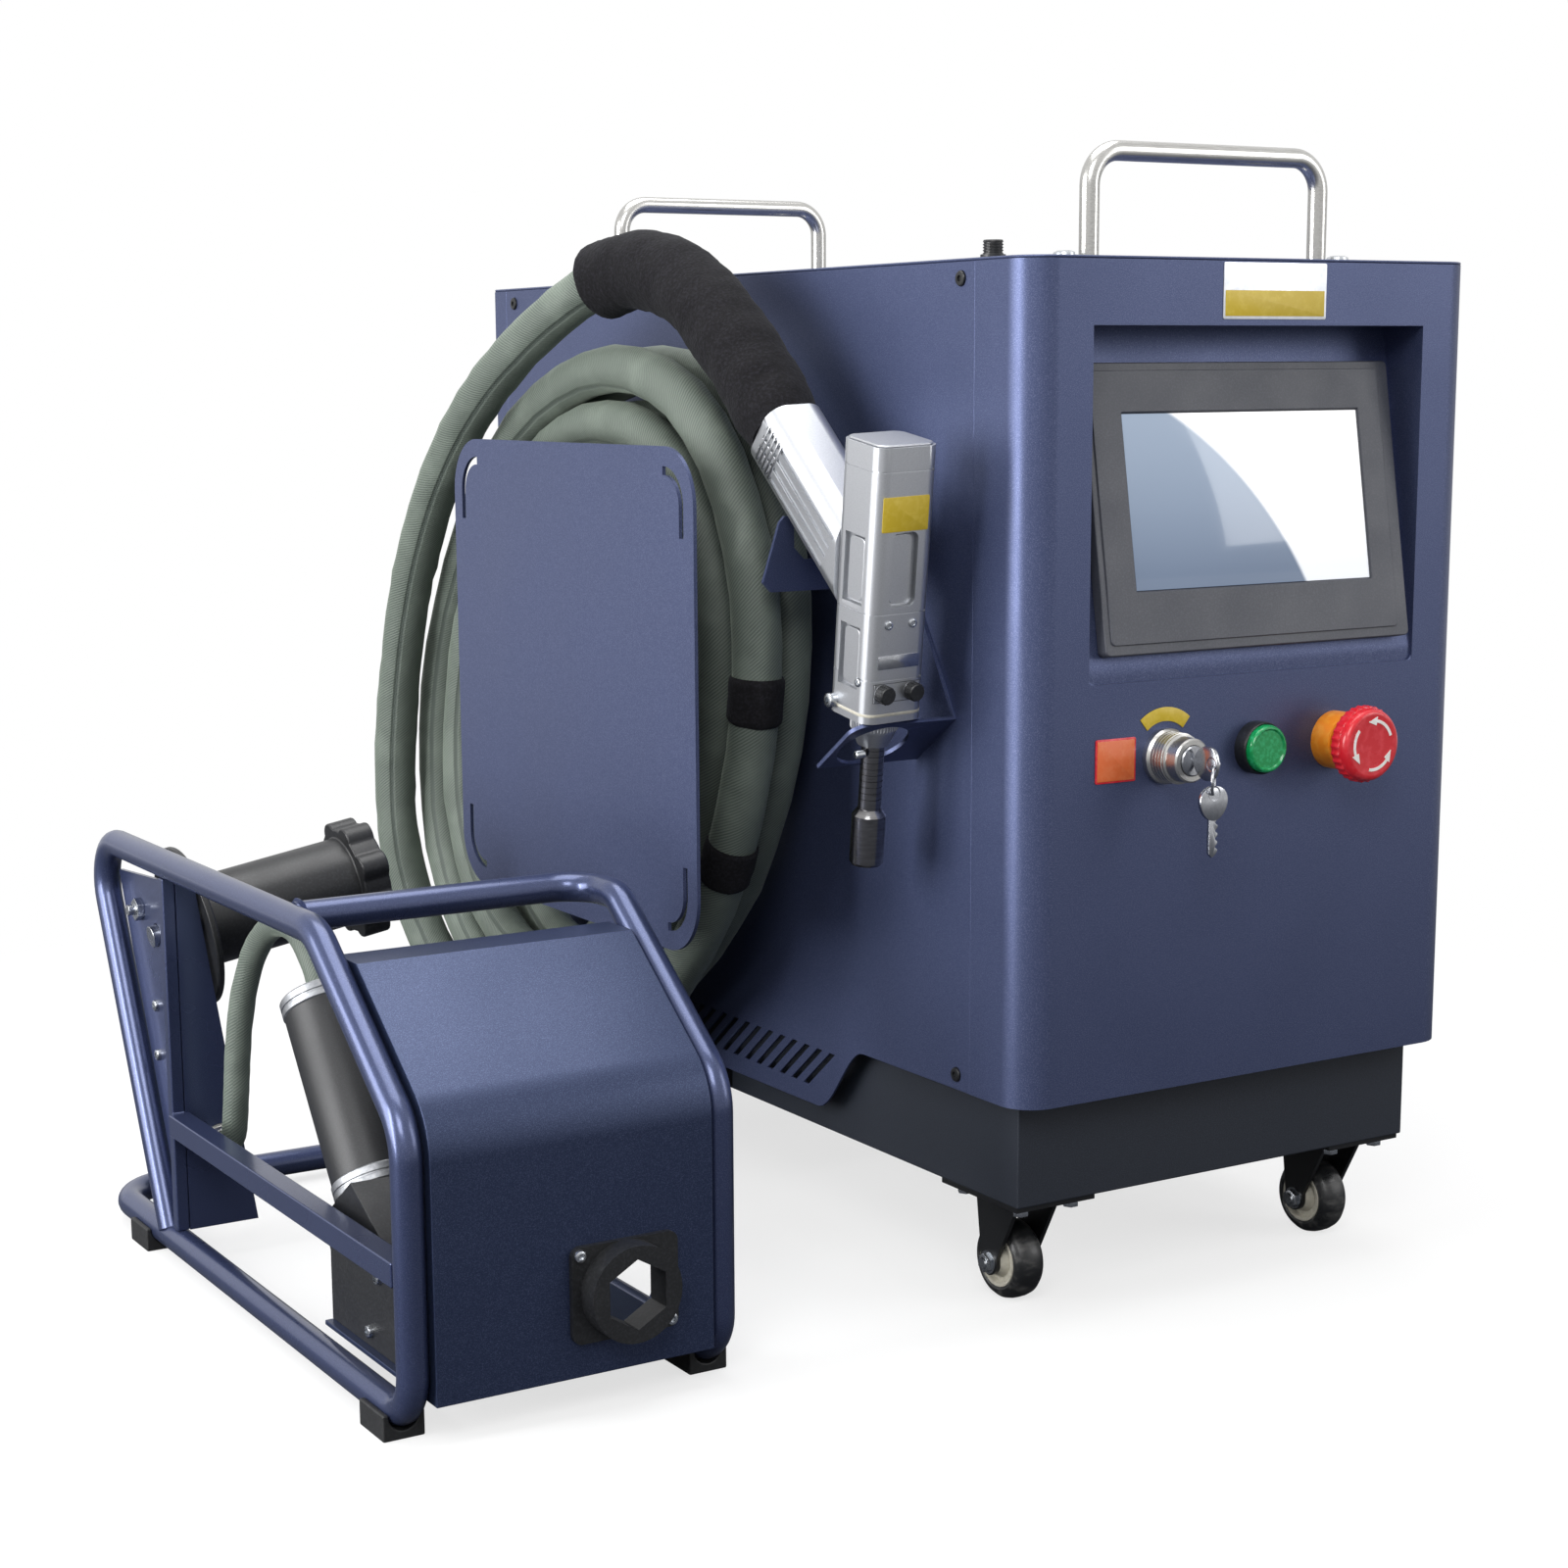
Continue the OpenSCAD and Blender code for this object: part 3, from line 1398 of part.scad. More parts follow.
module outlet_flange() {
    y = front_y - cover_off;
    color(black_plastic) in_frame() translate([flange_at.x, y, flange_at.y]) difference() {
        union() {
            rotate([90, 0, 0]) linear_extrude(flange_t) translate([-flange_w / 2, -flange_h / 2])
                rounded(flange_w, flange_h, flange_r);
            rotate([90, 0, 0]) cylinder(d = collar_out, h = collar_l);
        }
        translate([0, overrun, 0]) rotate([90, 0, 0]) rotate(30)
            cylinder(d = hex_w / cos(30), h = collar_l + 2 * overrun, $fn = 6);
    }
}

module feeder_wiring() {
    top = [motor_x, motor_low.x, motor_low.y] + motor_l * motor_way;
    color("#6a6c70") in_frame() {
        translate([connector_at.x, post_y - post_w / 2, connector_at.y]) rotate([90, 0, 0]) {
            difference() {
                cylinder(d = connector_d, h = plug_l);
                translate([0, 0, plug_l / 2]) cylinder(d = connector_d - 2 * sheet, h = plug_l);
            }
            cylinder(d = cable_d, h = plug_l);
        }
        swept(concat([top], cable_route, [[connector_at.x, post_y - post_w / 2 - plug_l, connector_at.y]]),
            cable_d, hose_sides, motor_way, [0, 1, 0]);
    }
}

base_plinth();
front_cover();
side_panel_left();
side_panel_right();
top_cover();
rear_cover();
screen_housing();
screen_glass();
carry_handles();
fasteners();
panel_screws();
top_fittings();
key_switch();
key();
key_ring();
green_button();
button_collars();
stop_stem();
stop_head();
hanger_bracket();
hanger_plate();
torch_holder();
hose_coil();
hose_end();
hose_wrap();
hose_outlet();
torch_body();
torch_grip();
torch_trigger();
lens_drawer();
focus_collar();
nozzle_tube();
laser_module();
power_supply();
control_board();
fan_frame();
fan_rotor();
rear_fittings();
caster_plates();
caster_fork_left();
caster_fork_right();
rear_forks();
wheel_front_left();
wheel_front_right();
wheel_rear_left();
wheel_rear_right();
feeder_frame();
feeder_rails();
feeder_cover();
spool_bracket();
feeder_feet();
feed_motor();
drive_block();
feed_roller();
pressure_arm();
idler_roller();
outlet_flange();
spool_axle();
spool_hub();
feeder_wiring();
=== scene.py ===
"""Hand-held laser welder, its hose and its wire feeder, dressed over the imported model.

Shapes are drawn in millimetres from the cabinet's front left corner on the floor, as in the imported
model's source: X along the front, Y to the back, Z up. PLACE takes them to the model's frame in metres.
"""
from __future__ import annotations

import json
import logging
import math
from dataclasses import dataclass, field
from enum import Enum
from typing import Callable, Iterable, Sequence

import bmesh
import bpy
from mathutils import Matrix, Vector, noise

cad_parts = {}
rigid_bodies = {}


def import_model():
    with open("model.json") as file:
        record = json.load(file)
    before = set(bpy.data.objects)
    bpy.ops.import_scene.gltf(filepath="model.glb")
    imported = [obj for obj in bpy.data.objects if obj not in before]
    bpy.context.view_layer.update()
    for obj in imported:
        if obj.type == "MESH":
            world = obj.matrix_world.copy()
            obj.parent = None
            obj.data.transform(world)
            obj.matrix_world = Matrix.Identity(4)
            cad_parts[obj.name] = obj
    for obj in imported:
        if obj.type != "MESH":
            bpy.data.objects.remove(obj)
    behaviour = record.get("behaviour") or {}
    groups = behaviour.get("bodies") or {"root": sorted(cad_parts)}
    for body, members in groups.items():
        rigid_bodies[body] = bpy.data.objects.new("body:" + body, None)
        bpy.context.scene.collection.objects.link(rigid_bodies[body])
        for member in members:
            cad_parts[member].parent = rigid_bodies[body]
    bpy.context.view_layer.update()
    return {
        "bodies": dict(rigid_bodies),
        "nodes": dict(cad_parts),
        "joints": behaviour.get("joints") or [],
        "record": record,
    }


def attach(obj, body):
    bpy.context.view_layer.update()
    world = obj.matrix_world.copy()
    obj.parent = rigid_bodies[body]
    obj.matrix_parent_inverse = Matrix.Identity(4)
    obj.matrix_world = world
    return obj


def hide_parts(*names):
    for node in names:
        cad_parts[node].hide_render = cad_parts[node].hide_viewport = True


LOG = logging.getLogger("laser_welder")
Point = tuple[float, float, float]
Outline = list[tuple[float, float]]
PLACE = Matrix.Scale(0.001, 4) @ Matrix.Translation((17.9, -277.15, 0.0))


class Facing(Enum):
    """The way that a turned piece's own Z axis points on the machine."""

    UP = "up"
    FRONT = "front"
    BACK = "back"
    LEFT = "left"
    RIGHT = "right"

    def turn(self) -> Matrix:
        """Returns the rotation that takes Z to this direction."""
        turns = {
            Facing.UP: Matrix.Identity(4),
            Facing.FRONT: Matrix.Rotation(math.radians(90), 4, "X"),
            Facing.BACK: Matrix.Rotation(math.radians(-90), 4, "X"),
            Facing.LEFT: Matrix.Rotation(math.radians(-90), 4, "Y"),
            Facing.RIGHT: Matrix.Rotation(math.radians(90), 4, "Y"),
        }
        return turns[self]


def at(place: Sequence[float], facing: Facing = Facing.UP) -> Matrix:
    """Returns the matrix that puts a piece's own origin at a place, with its Z axis facing a given way.

    Args:
        place: The point on the machine, in millimetres.
        facing: The direction of the piece's own Z axis.

    Returns:
        The matrix in millimetres.
    """
    return Matrix.Translation(place) @ facing.turn()


# Materials


def linear(hex_code: str) -> tuple[float, float, float, float]:
    """Turns an sRGB hex colour into linear values.

    Args:
        hex_code: Colour such as "#4b5679".

    Returns:
        Red, green and blue in linear light, and an alpha of 1.
    """
    parts = [int(hex_code[i : i + 2], 16) / 255.0 for i in (1, 3, 5)]
    red, green, blue = (p / 12.92 if p <= 0.04045 else ((p + 0.055) / 1.055) ** 2.4 for p in parts)
    return red, green, blue, 1.0


def add(
    tree: bpy.types.NodeTree, kind: str, inputs: dict | None = None, **settings: object
) -> bpy.types.Node:
    """Adds one shader node.

    Args:
        tree: The material's node tree.
        kind: The node's type, without its ShaderNode prefix.
        inputs: Values or output sockets by the input's name or index.
        **settings: The node's own properties.

    Returns:
        The new node.
    """
    node = tree.nodes.new("ShaderNode" + kind)
    for name, value in settings.items():
        setattr(node, name, value)
    for key, value in (inputs or {}).items():
        if isinstance(value, bpy.types.NodeSocket):
            tree.links.new(value, node.inputs[key])
        else:
            node.inputs[key].default_value = value
    return node


def new_surface(name: str, **shader: object) -> tuple[bpy.types.Material, bpy.types.NodeTree, bpy.types.Node]:
    """Starts a material with one Principled shader.

    Args:
        name: The material's name.
        **shader: Constant values of the shader's sockets, with underscores for spaces.

    Returns:
        The material, its node tree and its shader node.
    """
    material = bpy.data.materials.new(name)
    material.use_nodes = True
    tree = material.node_tree
    surface = tree.nodes["Principled BSDF"]
    for key, value in shader.items():
        surface.inputs[key.replace("_", " ")].default_value = value
    return material, tree, surface


def grain(
    tree: bpy.types.NodeTree, size_mm: float, detail: float = 2.0, stretch: Point = (1.0, 1.0, 1.0)
) -> bpy.types.Node:
    """Adds noise on Object coordinates with patches of a real size.

    Args:
        tree: The material's node tree.
        size_mm: Distance between patches in millimetres.
        detail: How many finer layers are added.
        stretch: Factors on the coordinates, below 1 where the grain runs long.

    Returns:
        The noise node.
    """
    place = add(tree, "TexCoord").outputs["Object"]
    turned = add(tree, "Mapping", {"Vector": place, "Scale": stretch}).outputs["Vector"]
    return add(tree, "TexNoise", {"Vector": turned, "Scale": 1000.0 / size_mm, "Detail": detail})


def blended(
    tree: bpy.types.NodeTree, factor: bpy.types.NodeSocket, low: str, high: str, edges: tuple[float, float]
) -> bpy.types.NodeSocket:
    """Adds a ramp between two colours.

    Args:
        tree: The material's node tree.
        factor: The value that drives the ramp.
        low: Hex colour below the first edge.
        high: Hex colour above the second edge.
        edges: Where the ramp starts and ends.

    Returns:
        The colour's socket.
    """
    ramp = add(tree, "ValToRGB", {"Fac": factor})
    ramp.color_ramp.elements[0].position = edges[0]
    ramp.color_ramp.elements[0].color = linear(low)
    ramp.color_ramp.elements[1].position = edges[1]
    ramp.color_ramp.elements[1].color = linear(high)
    return ramp.outputs["Color"]


def spread(
    tree: bpy.types.NodeTree, factor: bpy.types.NodeSocket, low: float, high: float
) -> bpy.types.NodeSocket:
    """Adds a map from 0.3 to 0.7 of a pattern onto a range of values.

    Args:
        tree: The material's node tree.
        factor: The pattern's value.
        low: Value at the pattern's low end.
        high: Value at the pattern's high end.

    Returns:
        The result's socket.
    """
    inputs = {"Value": factor, "From Min": 0.3, "From Max": 0.7, "To Min": low, "To Max": high}
    return add(tree, "MapRange", inputs).outputs["Result"]


def roughen(
    tree: bpy.types.NodeTree, surface: bpy.types.Node, height: bpy.types.NodeSocket, depth_mm: float,
    strength: float = 1.0
) -> None:
    """Adds a bump to a shader, on top of any bump that it has.

    Args:
        tree: The material's node tree.
        surface: The shader node.
        height: The relief's pattern.
        depth_mm: Depth of the relief in millimetres.
        strength: Share of the relief that shows.
    """
    inputs = {"Height": height, "Distance": depth_mm / 1000.0, "Strength": strength}
    normal = surface.inputs["Normal"]
    if normal.is_linked:
        inputs["Normal"] = normal.links[0].from_socket
    bump = add(tree, "Bump", inputs)
    tree.links.new(bump.outputs["Normal"], normal)


@dataclass(frozen=True)
class PowderCoat:
    """Baked polyester powder coat: aluminium flakes sparkle in it and its skin has a slight orange peel."""

    name: str
    pigment: str
    flake: str
    metallic: float
    roughness: float
    peel_mm: float = 2.4
    peel_depth_mm: float = 0.006
    coat: float = 0.0

    def build(self) -> bpy.types.Material:
        """Returns the material. The flakes are 0.05 mm and are drawn at 0.45 mm so that they show."""
        shader = {"Metallic": self.metallic, "Coat_Weight": self.coat, "Coat_Roughness": 0.12}
        material, tree, surface = new_surface(self.name, **shader)
        flakes = grain(tree, 0.45, 1.0).outputs["Fac"]
        colour = blended(tree, flakes, self.pigment, self.flake, (0.46, 0.92))
        tree.links.new(colour, surface.inputs["Base Color"])
        drift = grain(tree, 55.0, 3.0).outputs["Fac"]
        tree.links.new(
            spread(tree, drift, self.roughness - 0.025, self.roughness + 0.035), surface.inputs["Roughness"]
        )
        roughen(tree, surface, grain(tree, self.peel_mm, 1.5).outputs["Fac"], self.peel_depth_mm)
        return material


@dataclass(frozen=True)
class MetalFinish:
    """Bare metal: its tint, how far its skin scatters light, and the size and depth of its marks."""

    name: str
    tint: str
    shade: str
    roughness: float
    mark_mm: float
    mark_depth_mm: float
    stretch: Point = (1.0, 1.0, 1.0)

    def build(self) -> bpy.types.Material:
        """Returns the material."""
        material, tree, surface = new_surface(self.name, Metallic=1.0)
        marks = grain(tree, self.mark_mm, 3.0, self.stretch).outputs["Fac"]
        colour = blended(tree, marks, self.shade, self.tint, (0.3, 0.7))
        tree.links.new(colour, surface.inputs["Base Color"])
        tree.links.new(
            spread(tree, marks, self.roughness + 0.05, self.roughness - 0.04), surface.inputs["Roughness"]
        )
        roughen(tree, surface, marks, self.mark_depth_mm)
        return material


@dataclass(frozen=True)
class MouldedPlastic:
    """Injection moulded plastic: the mould leaves a fine pebbled skin, and wear polishes it in patches."""

    name: str
    colour: str
    speck: str
    roughness: float
    pebble_mm: float = 1.3
    depth_mm: float = 0.03
    clear: float = 0.0
    scatter: float = 0.0

    def build(self) -> bpy.types.Material:
        """Returns the material."""
        shader = {"Transmission_Weight": self.clear, "IOR": 1.49, "Subsurface_Weight": self.scatter}
        material, tree, surface = new_surface(self.name, **shader)
        pebbles = grain(tree, self.pebble_mm, 2.0).outputs["Fac"]
        colour = blended(tree, pebbles, self.colour, self.speck, (0.45, 0.8))
        tree.links.new(colour, surface.inputs["Base Color"])
        handled = grain(tree, 24.0, 3.0).outputs["Fac"]
        tree.links.new(
            spread(tree, handled, self.roughness - 0.05, self.roughness + 0.05), surface.inputs["Roughness"]
        )
        roughen(tree, surface, pebbles, self.depth_mm)
        return material


@dataclass(frozen=True)
class WovenSleeve:
    """Aramid sleeve woven in a 2/2 twill with one lengthwise seam: matte, with a soft sheen on its bends."""

    name: str
    yarn: str
    shade: str
    worn: str
    twill_mm: float = 1.5

    def build(self) -> bpy.types.Material:
        """Returns the material. The twill's ribs are 1 mm apart and are drawn at 1.5 mm so that they show."""
        material, tree, surface = new_surface(
            self.name, Roughness=0.62, Sheen_Weight=0.3, Sheen_Roughness=0.4
        )
        surface.inputs["Sheen Tint"].default_value = linear("#c9d6c4")
        sleeve = add(tree, "UVMap", uv_map="UVMap").outputs["UV"]
        turned = add(
            tree, "Mapping", {"Vector": sleeve, "Rotation": (0.0, 0.0, math.radians(38))}
        ).outputs["Vector"]
        ribs = self.threads(tree, turned, self.twill_mm)
        across = add(
            tree, "Mapping", {"Vector": sleeve, "Rotation": (0.0, 0.0, math.radians(-52))}
        ).outputs["Vector"]
        cross = self.threads(tree, across, self.twill_mm * 0.7)
        weave = add(tree, "Math", {0: ribs, 1: cross}, operation="MULTIPLY").outputs["Value"]
        tone = blended(tree, ribs, self.shade, self.yarn, (0.0, 0.9))
        rubbed = grain(tree, 32.0, 4.0).outputs["Fac"]
        share = add(
            tree, "MapRange", {"Value": rubbed, "From Min": 0.48, "From Max": 0.78, "To Max": 0.65}
        ).outputs["Result"]
        mix = add(tree, "MixRGB", {"Fac": share, "Color1": tone, "Color2": linear(self.worn)})
        seam = self.seam(tree, sleeve)
        stitched = add(
            tree, "MixRGB", {"Fac": seam, "Color1": mix.outputs["Color"], "Color2": linear(self.shade)}
        )
        tree.links.new(stitched.outputs["Color"], surface.inputs["Base Color"])
        roughen(tree, surface, grain(tree, 18.0, 3.0).outputs["Fac"], 1.8, 0.6)
        roughen(tree, surface, ribs, 0.12, 0.8)
        roughen(tree, surface, weave, 0.06, 0.6)
        roughen(tree, surface, seam, -0.5, 0.9)
        return material

    def threads(
        self, tree: bpy.types.NodeTree, vector: bpy.types.NodeSocket, pitch_mm: float
    ) -> bpy.types.NodeSocket:
        """Adds parallel threads. A wave's bands lie 0.314 apart at a scale of 1."""
        inputs = {
            "Vector": vector, "Scale": 314.0 / pitch_mm, "Distortion": 0.35, "Detail": 1.0,
            "Detail Scale": 0.6
        }
        return add(tree, "TexWave", inputs, wave_type="BANDS", bands_direction="X").outputs["Fac"]

    def seam(self, tree: bpy.types.NodeTree, sleeve: bpy.types.NodeSocket) -> bpy.types.NodeSocket:
        """Adds the seam: a line 2.4 mm wide that follows the hose at one place round it."""
        round_it = add(tree, "SeparateXYZ", {"Vector": sleeve}).outputs["Y"]
        off = add(tree, "Math", {0: round_it, 1: 0.031}, operation="SUBTRACT").outputs["Value"]
        away = add(tree, "Math", {0: off}, operation="ABSOLUTE").outputs["Value"]
        inputs = {"Value": away, "From Min": 0.0006, "From Max": 0.0018, "To Min": 1.0, "To Max": 0.0}
        return add(tree, "MapRange", inputs).outputs["Result"]


@dataclass(frozen=True)
class FeltWrap:
    """Brushed hook-and-loop cloth wound in a spiral: black pile that catches lint and light at its rims."""

    name: str
    pile: str
    lint: str

    def build(self) -> bpy.types.Material:
        """Returns the material. The pile is drawn at 1.6 mm."""
        material, tree, surface = new_surface(
            self.name, Roughness=0.95, Sheen_Weight=0.08, Specular_IOR_Level=0.25
        )
        surface.inputs["Sheen Tint"].default_value = linear("#7d8089")
        fuzz = grain(tree, 1.6, 4.0).outputs["Fac"]
        tree.links.new(blended(tree, fuzz, self.pile, self.lint, (0.45, 0.85)), surface.inputs["Base Color"])
        cloth = add(tree, "UVMap", uv_map="UVMap").outputs["UV"]
        slanted = add(
            tree, "Mapping", {"Vector": cloth, "Rotation": (0.0, 0.0, math.radians(24))}
        ).outputs["Vector"]
        inputs = {"Vector": slanted, "Scale": 314.0 / 24.0, "Distortion": 1.6, "Detail": 2.0}
        layers = add(
            tree, "TexWave", inputs, wave_type="BANDS", bands_direction="X", wave_profile="SAW"
        ).outputs["Fac"]
        roughen(tree, surface, layers, 1.4, 0.7)
        roughen(tree, surface, grain(tree, 9.0, 3.0).outputs["Fac"], 1.2, 0.6)
        roughen(tree, surface, fuzz, 0.5, 0.8)
        return material


@dataclass(frozen=True)
class GlassWithPaintedReflection:
    """Touch panel glass with a painted reflection: a pale blue field, lighter towards the top, that clears to
    a painted white highlight past one long curve, all made to glow.
    """

    name: str = "touch glass with painted reflection"

    def build(self) -> bpy.types.Material:
        """Returns the material. Its painted reflection and highlight are used as colour and as a glow."""
        material, tree, surface = new_surface(self.name, Roughness=0.08, Coat_Weight=0.6, Coat_Roughness=0.03)
        place = add(tree, "TexCoord").outputs["Object"]
        turned = add(
            tree, "Mapping", {"Vector": place, "Location": (-0.1619, 0.0, -0.4153)}
        ).outputs["Vector"]
        parts = add(tree, "SeparateXYZ", {"Vector": turned})
        across, up = parts.outputs["X"], parts.outputs["Z"]
        flat = add(tree, "CombineXYZ", {"X": across, "Y": up})
        # distance from a circle whose edge bounds the painted white highlight
        curve = add(
            tree, "VectorMath", {0: flat.outputs["Vector"], 1: (-0.137, -0.122, 0.0)}, operation="DISTANCE"
        )
        inputs = {
            "Value": curve.outputs["Value"], "From Min": 0.1865, "From Max": 0.1895, "To Min": 1.0,
            "To Max": 0.0
        }
        # share of the painted white highlight, past the curve
        painted_highlight_share = add(tree, "MapRange", inputs, interpolation_type="SMOOTHSTEP").outputs["Result"]
        height = add(tree, "MapRange", {"Value": up, "From Min": -0.044, "From Max": 0.044}).outputs["Result"]
        # painted reflection: blue, lighter towards the top
        field = blended(tree, height, "#66758c", "#8e9db1", (0.05, 0.95))
        # painted highlight: near white past the curve
        clear = blended(tree, height, "#eef2f8", "#ffffff", (0.0, 0.5))
        painted_reflection = add(tree, "MixRGB", {"Fac": painted_highlight_share, "Color1": clear, "Color2": field}).outputs["Color"]
        # the painted reflection is the colour and also a glow of strength 0.42
        tree.links.new(painted_reflection, surface.inputs["Base Color"])
        tree.links.new(painted_reflection, surface.inputs["Emission Color"])
        surface.inputs["Emission Strength"].default_value = 0.42
        tree.links.new(
            spread(tree, grain(tree, 30.0).outputs["Fac"], 0.06, 0.12), surface.inputs["Roughness"]
        )
        return material


@dataclass(frozen=True)
class CastWheel:
    """Polyurethane tread, moulded glossy and then scuffed by the floor it rolled on."""

    name: str = "scuffed polyurethane tread"

    def build(self) -> bpy.types.Material:
        """Returns the material."""
        material, tree, surface = new_surface(self.name, IOR=1.5)
        dust = grain(tree, 5.0, 5.0, (0.35, 1.0, 1.0)).outputs["Fac"]
        tree.links.new(blended(tree, dust, "#1c1d1f", "#6b6a68", (0.52, 0.92)), surface.inputs["Base Color"])
        tree.links.new(spread(tree, dust, 0.24, 0.52), surface.inputs["Roughness"])
        roughen(tree, surface, grain(tree, 1.5, 3.0).outputs["Fac"], 0.05)
        return material


class Finish(Enum):
    """Every finish of the machine."""

    BLUE = PowderCoat("blue metallic powder coat", "#40496a", "#6a7292", 0.55, 0.4)
    # the cabinet's blue darkened for the feeder cover: painted shade
    DEEP_BLUE = PowderCoat("blue powder coat with painted shade", "#2c3652", "#525c7b", 0.55, 0.34)
    TUBE = PowderCoat("blue gloss coat on tube", "#394263", "#5a6385", 0.6, 0.28, 3.0, 0.004, 0.3)
    PLINTH = PowderCoat("dark textured powder coat", "#1c212b", "#353b47", 0.12, 0.55, 1.2, 0.04)
    BLACK_PAINT = PowderCoat("black semi-gloss enamel", "#141517", "#2b2c2f", 0.1, 0.34, 3.0, 0.008)
    MOTOR = PowderCoat("matte black motor enamel", "#191a1c", "#303136", 0.15, 0.47, 1.8, 0.05)
    STAINLESS = MetalFinish(
        "brushed stainless steel", "#c9c8c5", "#b3b2af", 0.22, 0.6, 0.003, (0.06, 1.0, 1.0)
    )
    ZINC = MetalFinish("bright zinc plate", "#d0d3d7", "#b5b9be", 0.24, 4.0, 0.006)
    TURNED = MetalFinish("turned tool steel", "#8d8c8d", "#6d6c6e", 0.2, 1.4, 0.02, (0.15, 0.15, 1.0))
    ALUMINIUM = MetalFinish("bead blasted aluminium", "#bfc1c5", "#b6b8bc", 0.42, 0.7, 0.004)
    POLISHED = MetalFinish("diamond cut aluminium", "#c9cbce", "#c0c2c5", 0.3, 6.0, 0.001)
    CAST = MetalFinish("cast aluminium", "#a3a5a8", "#85878b", 0.48, 2.5, 0.08)
    LOCK = MetalFinish("satin chrome lock", "#c4c3c0", "#b4b3b0", 0.3, 0.8, 0.003)
    NICKEL = MetalFinish("nickel plated key", "#b9bbc0", "#a3a5aa", 0.2, 3.0, 0.004)
    SCREEN = MouldedPlastic("grey screen bezel", "#43454d", "#50525b", 0.46, 0.9, 0.015)
    BLACK = MouldedPlastic("black moulded plastic", "#17181a", "#2a2b2e", 0.42)
    RUBBER = MouldedPlastic("black rubber", "#121315", "#222326", 0.6, 2.2, 0.08)
    GREEN = MouldedPlastic("green lens", "#0d9a52", "#35c480", 0.16, 2.0, 0.006, 0.15)
    RED = MouldedPlastic("red button plastic", "#d3202c", "#e2404a", 0.24, 4.0, 0.01, 0.0, 0.05)
    AMBER = MouldedPlastic("amber collar plastic", "#ee8a1d", "#f5a63c", 0.3, 4.0, 0.01, 0.0, 0.05)
    PLATE = MetalFinish("silver label film", "#d6d8dc", "#c9ccd1", 0.42, 3.0, 0.003)
    YELLOW = MouldedPlastic("yellow label film", "#c9ad2a", "#d3ba44", 0.38, 3.0, 0.006)
    ORANGE = MouldedPlastic("orange label film", "#dd6a35", "#e27c4b", 0.32, 3.0, 0.006)
    WHITE = MouldedPlastic("white ink", "#f2efe9", "#ffffff", 0.4, 2.0, 0.01)
    GASKET = MouldedPlastic("pale gasket", "#b8b4a6", "#cac6b8", 0.55, 2.0, 0.02)
    BOARD = MouldedPlastic("green solder mask", "#14502f", "#2c7a4c", 0.35, 3.0, 0.03)
    HOSE = WovenSleeve("olive woven sleeve", "#656e65", "#464f49", "#757f75")
    WRAP = FeltWrap("black felt wrap", "#0b0a0d", "#222127")
    # glass with a painted reflection and highlight that glow
    DISPLAY = GlassWithPaintedReflection()
    TREAD = CastWheel()

    @property
    def material(self) -> bpy.types.Material:
        """Returns the finish's material, built the first time that it is asked for."""
        return bpy.data.materials.get(self.value.name) or self.value.build()


# Meshes


def rounded(w: float, h: float, r: float, steps: int = 6) -> Outline:
    """Returns a rectangle's outline with round corners, centred.

    Args:
        w: Width in millimetres.
        h: Height in millimetres.
        r: Radius of the corners.
        steps: Points round each corner, less one.

    Returns:
        The outline, anticlockwise.
    """
    corners = [
        (w / 2 - r, h / 2 - r, 0), (r - w / 2, h / 2 - r, 90), (r - w / 2, r - h / 2, 180),
        (w / 2 - r, r - h / 2, 270)
    ]
    points: Outline = []
    for x, y, start in corners:
        for k in range(steps + 1):
            angle = math.radians(start + 90 * k / steps)
            points.append((x + r * math.cos(angle), y + r * math.sin(angle)))
    return points


def ring_outline(r: float, sides: int, start: float = 0.0) -> Outline:
    """Returns a regular outline of a given radius."""
    turns = (math.radians(start + 360 * k / sides) for k in range(sides))
    return [(r * math.cos(a), r * math.sin(a)) for a in turns]


def slab(
    bm: bmesh.types.BMesh, outline: Outline, low: float, high: float, rim: float = 0.0,
    place: Matrix | None = None
) -> list:
    """Adds a plate of a given outline.

    Args:
        bm: The mesh that takes it.
        outline: The plate's outline.
        low: Height of its under side.
        high: Height of its upper side.
        rim: Width of the bevel round both sides.
        place: Where the plate goes within the mesh.

    Returns:
        The plate's vertices.
    """
    face = bm.faces.new([bm.verts.new((x, y, low)) for x, y in outline])
    grown = bmesh.ops.extrude_face_region(bm, geom=[face])["geom"]
    top = [g for g in grown if isinstance(g, bmesh.types.BMVert)]
    bmesh.ops.translate(bm, vec=(0, 0, high - low), verts=top)
    verts = list(face.verts) + top
    if rim:
        level = [e for v in verts for e in v.link_edges if abs(e.verts[0].co.z - e.verts[1].co.z) < 1e-6]
        verts = soften_edges(bm, set(level), rim, verts)
    bmesh.ops.recalc_face_normals(bm, faces=list({f for v in verts for f in v.link_faces}))
    if place is not None:
        bmesh.ops.transform(bm, matrix=place, verts=verts)
    return verts


